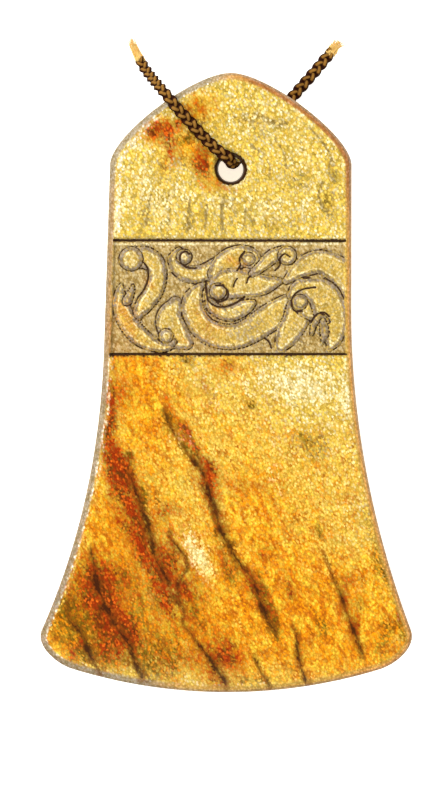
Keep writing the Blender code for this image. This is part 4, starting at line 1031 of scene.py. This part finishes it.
def jadeMaterial():
    # Golden jadeite, ground with sand, cut with a wheel and polished by long rubbing: waxy, not glassy, lit a
    # little from within, granular, with iron stains that follow its cracks.
    material, tree = newMaterial("polished jadeite")
    add = partial(addNode, tree)
    tone = {name: fromHex(code) for name, code in jade.items() if isinstance(code, str)}
    mark = {name: add("Attribute", attribute_name=name, out="Fac") for name in marks}
    smooth = {"interpolation_type": "SMOOTHSTEP"}
    tint = {"blend_type": "MULTIPLY"}
    times, plus, timesPlus, greater = (
        {"operation": kind} for kind in ("MULTIPLY", "ADD", "MULTIPLY_ADD", "MAXIMUM"))

    place = add("TexCoord", out="Object")
    lean = (0, 0, math.radians(jade["veinLean"]))
    # clouds drawn out along the veins, 3 mm across and more than twice as long
    turned = add("Mapping", vector_type="TEXTURE", Vector=place, Rotation=lean, Scale=(1, 2.4, 1))
    clouds = add("TexNoise", Vector=turned, Scale=1000 / jade["cloudSize"], Detail=5.0, Roughness=0.68)
    drift = add("Math", clouds, 2.0, -1.0, **timesPlus)
    streaks = add("TexNoise", Vector=turned, Scale=700.0, Detail=3.0)  # 1.4 by 3.4 mm
    # grains are 0.1 to 0.3 mm in such stone, drawn at about 0.45 mm so that they show
    grainPlace = add("Mapping", vector_type="TEXTURE", Vector=place, Rotation=lean, Scale=(1, 1.35, 1))
    cells = add("TexVoronoi", Vector=grainPlace, Scale=1000 / jade["grainSize"]).node.outputs
    grain, second, third = add("SeparateColor", cells["Color"]).node.outputs  # three random numbers a grain

    def stain(name, pick, low=0.02, high=0.85, share=0.55):
        # a grain takes the stain when its own random number, the clouds and the mark add up to enough
        picked = add("Math", drift, share, -0.3, **timesPlus)
        picked = add("Math", pick, 0.6, picked, **timesPlus)
        picked = add("MapRange", add("Math", picked, mark[name], **plus), low, high, **smooth)
        return add("Math", picked, add("MapRange", mark[name], 0.0, 0.22, **smooth), **times)

    paler = add("MixRGB", add("MapRange", mark["amber"], 0.05, 0.5, **smooth), tone["milk"], tone["straw"])
    colour = add("MixRGB", add("MapRange", second, 0.5, 0.95, **smooth), tone["gold"], paler)
    greener = add("Math", add("MapRange", third, 0.55, 0.95, **smooth), 0.75, **times)
    colour = add("MixRGB", greener, colour, tone["olive"])
    amber = add("MixRGB", add("MapRange", streaks, 0.4, 0.6, **smooth), tone["resin"], tone["honey"])
    amber = add("MixRGB", add("MapRange", second, 0.1, 0.65, **smooth), tone["amber"], amber)
    ember = add("MixRGB", add("MapRange", streaks, 0.42, 0.58, **smooth), tone["ember"], tone["umber"])
    brighter = add("Math", add("MapRange", third, 0.5, 0.95, **smooth), 0.8, **times)
    ember = add("MixRGB", brighter, ember, tone["flame"])
    # pale, for the cream stains and for the painted highlights laid with them
    creamAndHighlight = add("MixRGB", add("MapRange", mark["amber"], 0.35, 0.95, **smooth), tone["milk"], tone["straw"])
    for name, pick, limits, over in (
        ("amber", third, (), amber), ("mossAndShade", second, (), tone["mossAndShade"]), ("ember", grain, (), ember),
        ("creamAndHighlight", grain, (0.3, 1.0), creamAndHighlight), ("wisp", third, (0.1, 0.9), tone["haze"]),
    ):
        colour = add("MixRGB", stain(name, pick, *limits), colour, over)

    # the band: duller, its bare sunk ground darker brown as painted shade, short pale strokes and a painted
    # pale highlight across its bodies, and painted grey shade round them
    band = mark["band"]
    colour = add("MixRGB", add("Math", band, 0.5, **times), colour, tone["khaki"])
    # the bare sunk ground darkened as painted shade
    bare = add("Math", band, add("Math", mark["open"], 0.68, **times), **times)
    colour = add("MixRGB", bare, colour, tone["ground"])
    strokes = add("Math", mark["strokes"], 7.5, add("Math", grain, 2.0, **times), **timesPlus)
    strokes = add("MapRange", add("Math", strokes, operation="SINE"), 0.3, 1.0, **smooth)
    lit = add("Math", stain("lit", grain, 0.4, 1.0, 0.2), 0.7, **times)
    pale = add("Math", add("Math", strokes, 0.2, **times), lit, **greater)
    colour = add("MixRGB", add("Math", band, pale, **times), colour, tone["milk"])
    paintedGrey = add("Math", stain("shaded", second, 0.3, 1.0, 0.25), 0.9, **times)
    colour = add("MixRGB", paintedGrey, colour, tone["shadeGrey"])

    # the rim, by where it is: its colours change by side as painted light and shade, grey at the left as a
    # painted cool reflection and darker at the upper right as painted shade; it is darker at its lip as
    # painted shade, with a broken painted white gleam inside it
    rim = add("MixRGB", mark["rimLeft"], tone["peach"], tone["ash"])
    for name, share, over in (("rimUpperRight", 1.0, "rust"), ("rimLeftTan", 0.7, "tan"), ("rimBlade", 0.5, "olive"),
                              ("rimInner", 0.6, "olive")):
        rim = add("MixRGB", add("Math", mark[name], share, **times), rim, tone[over])
    wearAndShade = add("MixRGB", 1.0, rim, (0.66, 0.62, 0.58, 1), **tint)
    wearAndShade = add("MixRGB", 0.5, wearAndShade, tone["ash"])
    rim = add("MixRGB", mark["lip"], rim, wearAndShade)
    colour = add("MixRGB", add("Math", mark["rim"], 0.9, **times), colour, rim)
    gleam = add("Math", stain("gleam", second, 0.25, 0.9, 0.1), 0.9, **times)
    colour = add("MixRGB", gleam, colour, tone["white"])

    # each grain a little lighter or darker, and browner along its border
    uneven = add("MixRGB", grain, (0.7, 0.67, 0.56, 1), (1.26, 1.26, 1.3, 1))
    colour = add("MixRGB", 1.0, colour, uneven, **tint)
    browner = add("MixRGB", 1.0, colour, (0.8, 0.7, 0.45, 1), **tint)
    colour = add("MixRGB", add("MapRange", cells["Distance"], 0.3, 0.75, **smooth), colour, browner)

    # veins: each is drawn where the wandering offset from its middle is less than its width
    veined = add("Math", stain("veinShade", third), 0.6, **times)
    colour = add("MixRGB", veined, colour, tone["veinShade"])
    wander = add("Math", drift, 1.3, add("Math", grain, 1.3, -0.65, **timesPlus), **timesPlus)
    dark = 0.0
    for k in range(len(veins)):
        parts = add("SeparateXYZ", add("Attribute", attribute_name=f"vein{k}", out="Vector")).node.outputs
        offset = add("Math", add("Math", wander, 0.45, parts[0], **timesPlus), operation="ABSOLUTE")
        inside = add("Math", parts[1], offset, operation="SUBTRACT")
        dark = add("Math", dark, add("MapRange", inside, -0.35, 0.35, **smooth), **greater)
    dark = add("Math", dark, add("MapRange", clouds, 0.25, 0.52, **smooth), **times)
    colour = add("MixRGB", add("Math", dark, 0.88, **times), colour, tone["vein"])
    # the cuts, the band's lines and the hole's mouth darkened as painted shade
    hollowShaded = add("Math", grain, 0.6, mark["incised"], **timesPlus)
    colour = add("MixRGB", add("MapRange", hollowShaded, 0.66, 1.2, **smooth), colour, tone["hollowShadeBrown"])

    polish = add("Math", add("Math", band, mark["rim"], **greater), 0.12, 0.33, **timesPlus)
    ground = add("Bump", Strength=0.1, Distance=0.0002, Height=grain)
    shader = add("BsdfPrincipled", Base_Color=colour, Roughness=polish, IOR=1.66, Normal=ground,
                 Specular_IOR_Level=0.12, Specular_Tint=(1.0, 0.86, 0.62, 1.0), Subsurface_Weight=0.1,
                 Subsurface_Radius=(1.0, 0.55, 0.2), Subsurface_Scale=0.0006)
    add("OutputMaterial", Surface=shader)
    return material


# laid down: tipped about X by the lean and set in place
x, y, z = stonePoints.T
c, s = math.cos(math.radians(stone["lean"])), math.sin(math.radians(stone["lean"]))
laid = np.column_stack([x, y * c - z * s, y * s + z * c]) + stone["place"]
stonePiece = makePiece("jadeite_axe", laid, stoneQuads, stoneTriangles, jadeMaterial())
for name, values in marks.items():
    addAttribute(stonePiece, name, values)
for k, values in enumerate(offsets):
    addAttribute(stonePiece, f"vein{k}", values)
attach(stonePiece, "root")
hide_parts("axe_head")
print("stone", len(stonePiece.data.polygons), "faces")


# Studio: softboxes all round, strongest at the upper left, over a white table lit a little from below,
# and little light from straight above, where the camera is, so that the polish stays clear of glare.
studio = {
    "table": "#fbfaf6",
    "tableGlow": 0.7,
    "sky": 0.22,
    # each softbox: direction round from +X, height above the table, distance, width, share of the light
    "softboxes": (("key", 132, 42, 1900, 800, 0.77), ("right", 20, 45, 1900, 900, 0.31),
                  ("lower", -95, 45, 1900, 900, 0.27), ("left", 200, 40, 1900, 900, 0.19)),
}


def softbox(name, around, height, distance, width, share):
    # a disc that lights a level surface as a sky would: power = share pi2 distance2 / sin(height)
    data = bpy.data.lights.new(name, "AREA")
    data.shape = "DISK"
    data.size = width * mm
    around, height = math.radians(around), math.radians(height)
    data.energy = share * math.pi**2 * (distance * mm)**2 / math.sin(height)
    light = bpy.data.objects.new(name, data)
    level = math.cos(height)
    towards = Vector((math.cos(around) * level, math.sin(around) * level, math.sin(height)))
    light.location = towards * distance * mm
    light.rotation_euler = towards.to_track_quat("Z", "Y").to_euler()
    scene.collection.objects.link(light)


for box in studio["softboxes"]:
    softbox(*box)
# a matt sheet, so that the stone has only its own soft shadow on it
tableMaterial, tableTree = newMaterial("matt white acrylic")
tableShader = addNode(tableTree, "BsdfPrincipled", Base_Color=fromHex(studio["table"]), Roughness=0.9,
                      Emission_Color=fromHex(studio["table"]), Emission_Strength=studio["tableGlow"])
addNode(tableTree, "OutputMaterial", Surface=tableShader)
tableCorners = np.array([(-3000.0, -3000, 0), (3000, -3000, 0), (3000, 3000, 0), (-3000, 3000, 0)])
table = makePiece("table", tableCorners, np.array([[0, 1, 2, 3]]), np.zeros((0, 3), int), tableMaterial)

world = bpy.data.worlds.new("studio")
scene.world = world
world.use_nodes = True
world.node_tree.nodes["Background"].inputs["Color"].default_value = (1, 1, 1, 1)
world.node_tree.nodes["Background"].inputs["Strength"].default_value = studio["sky"]
scene.view_settings.view_transform = "Standard"
print("studio", len(studio["softboxes"]), "softboxes")
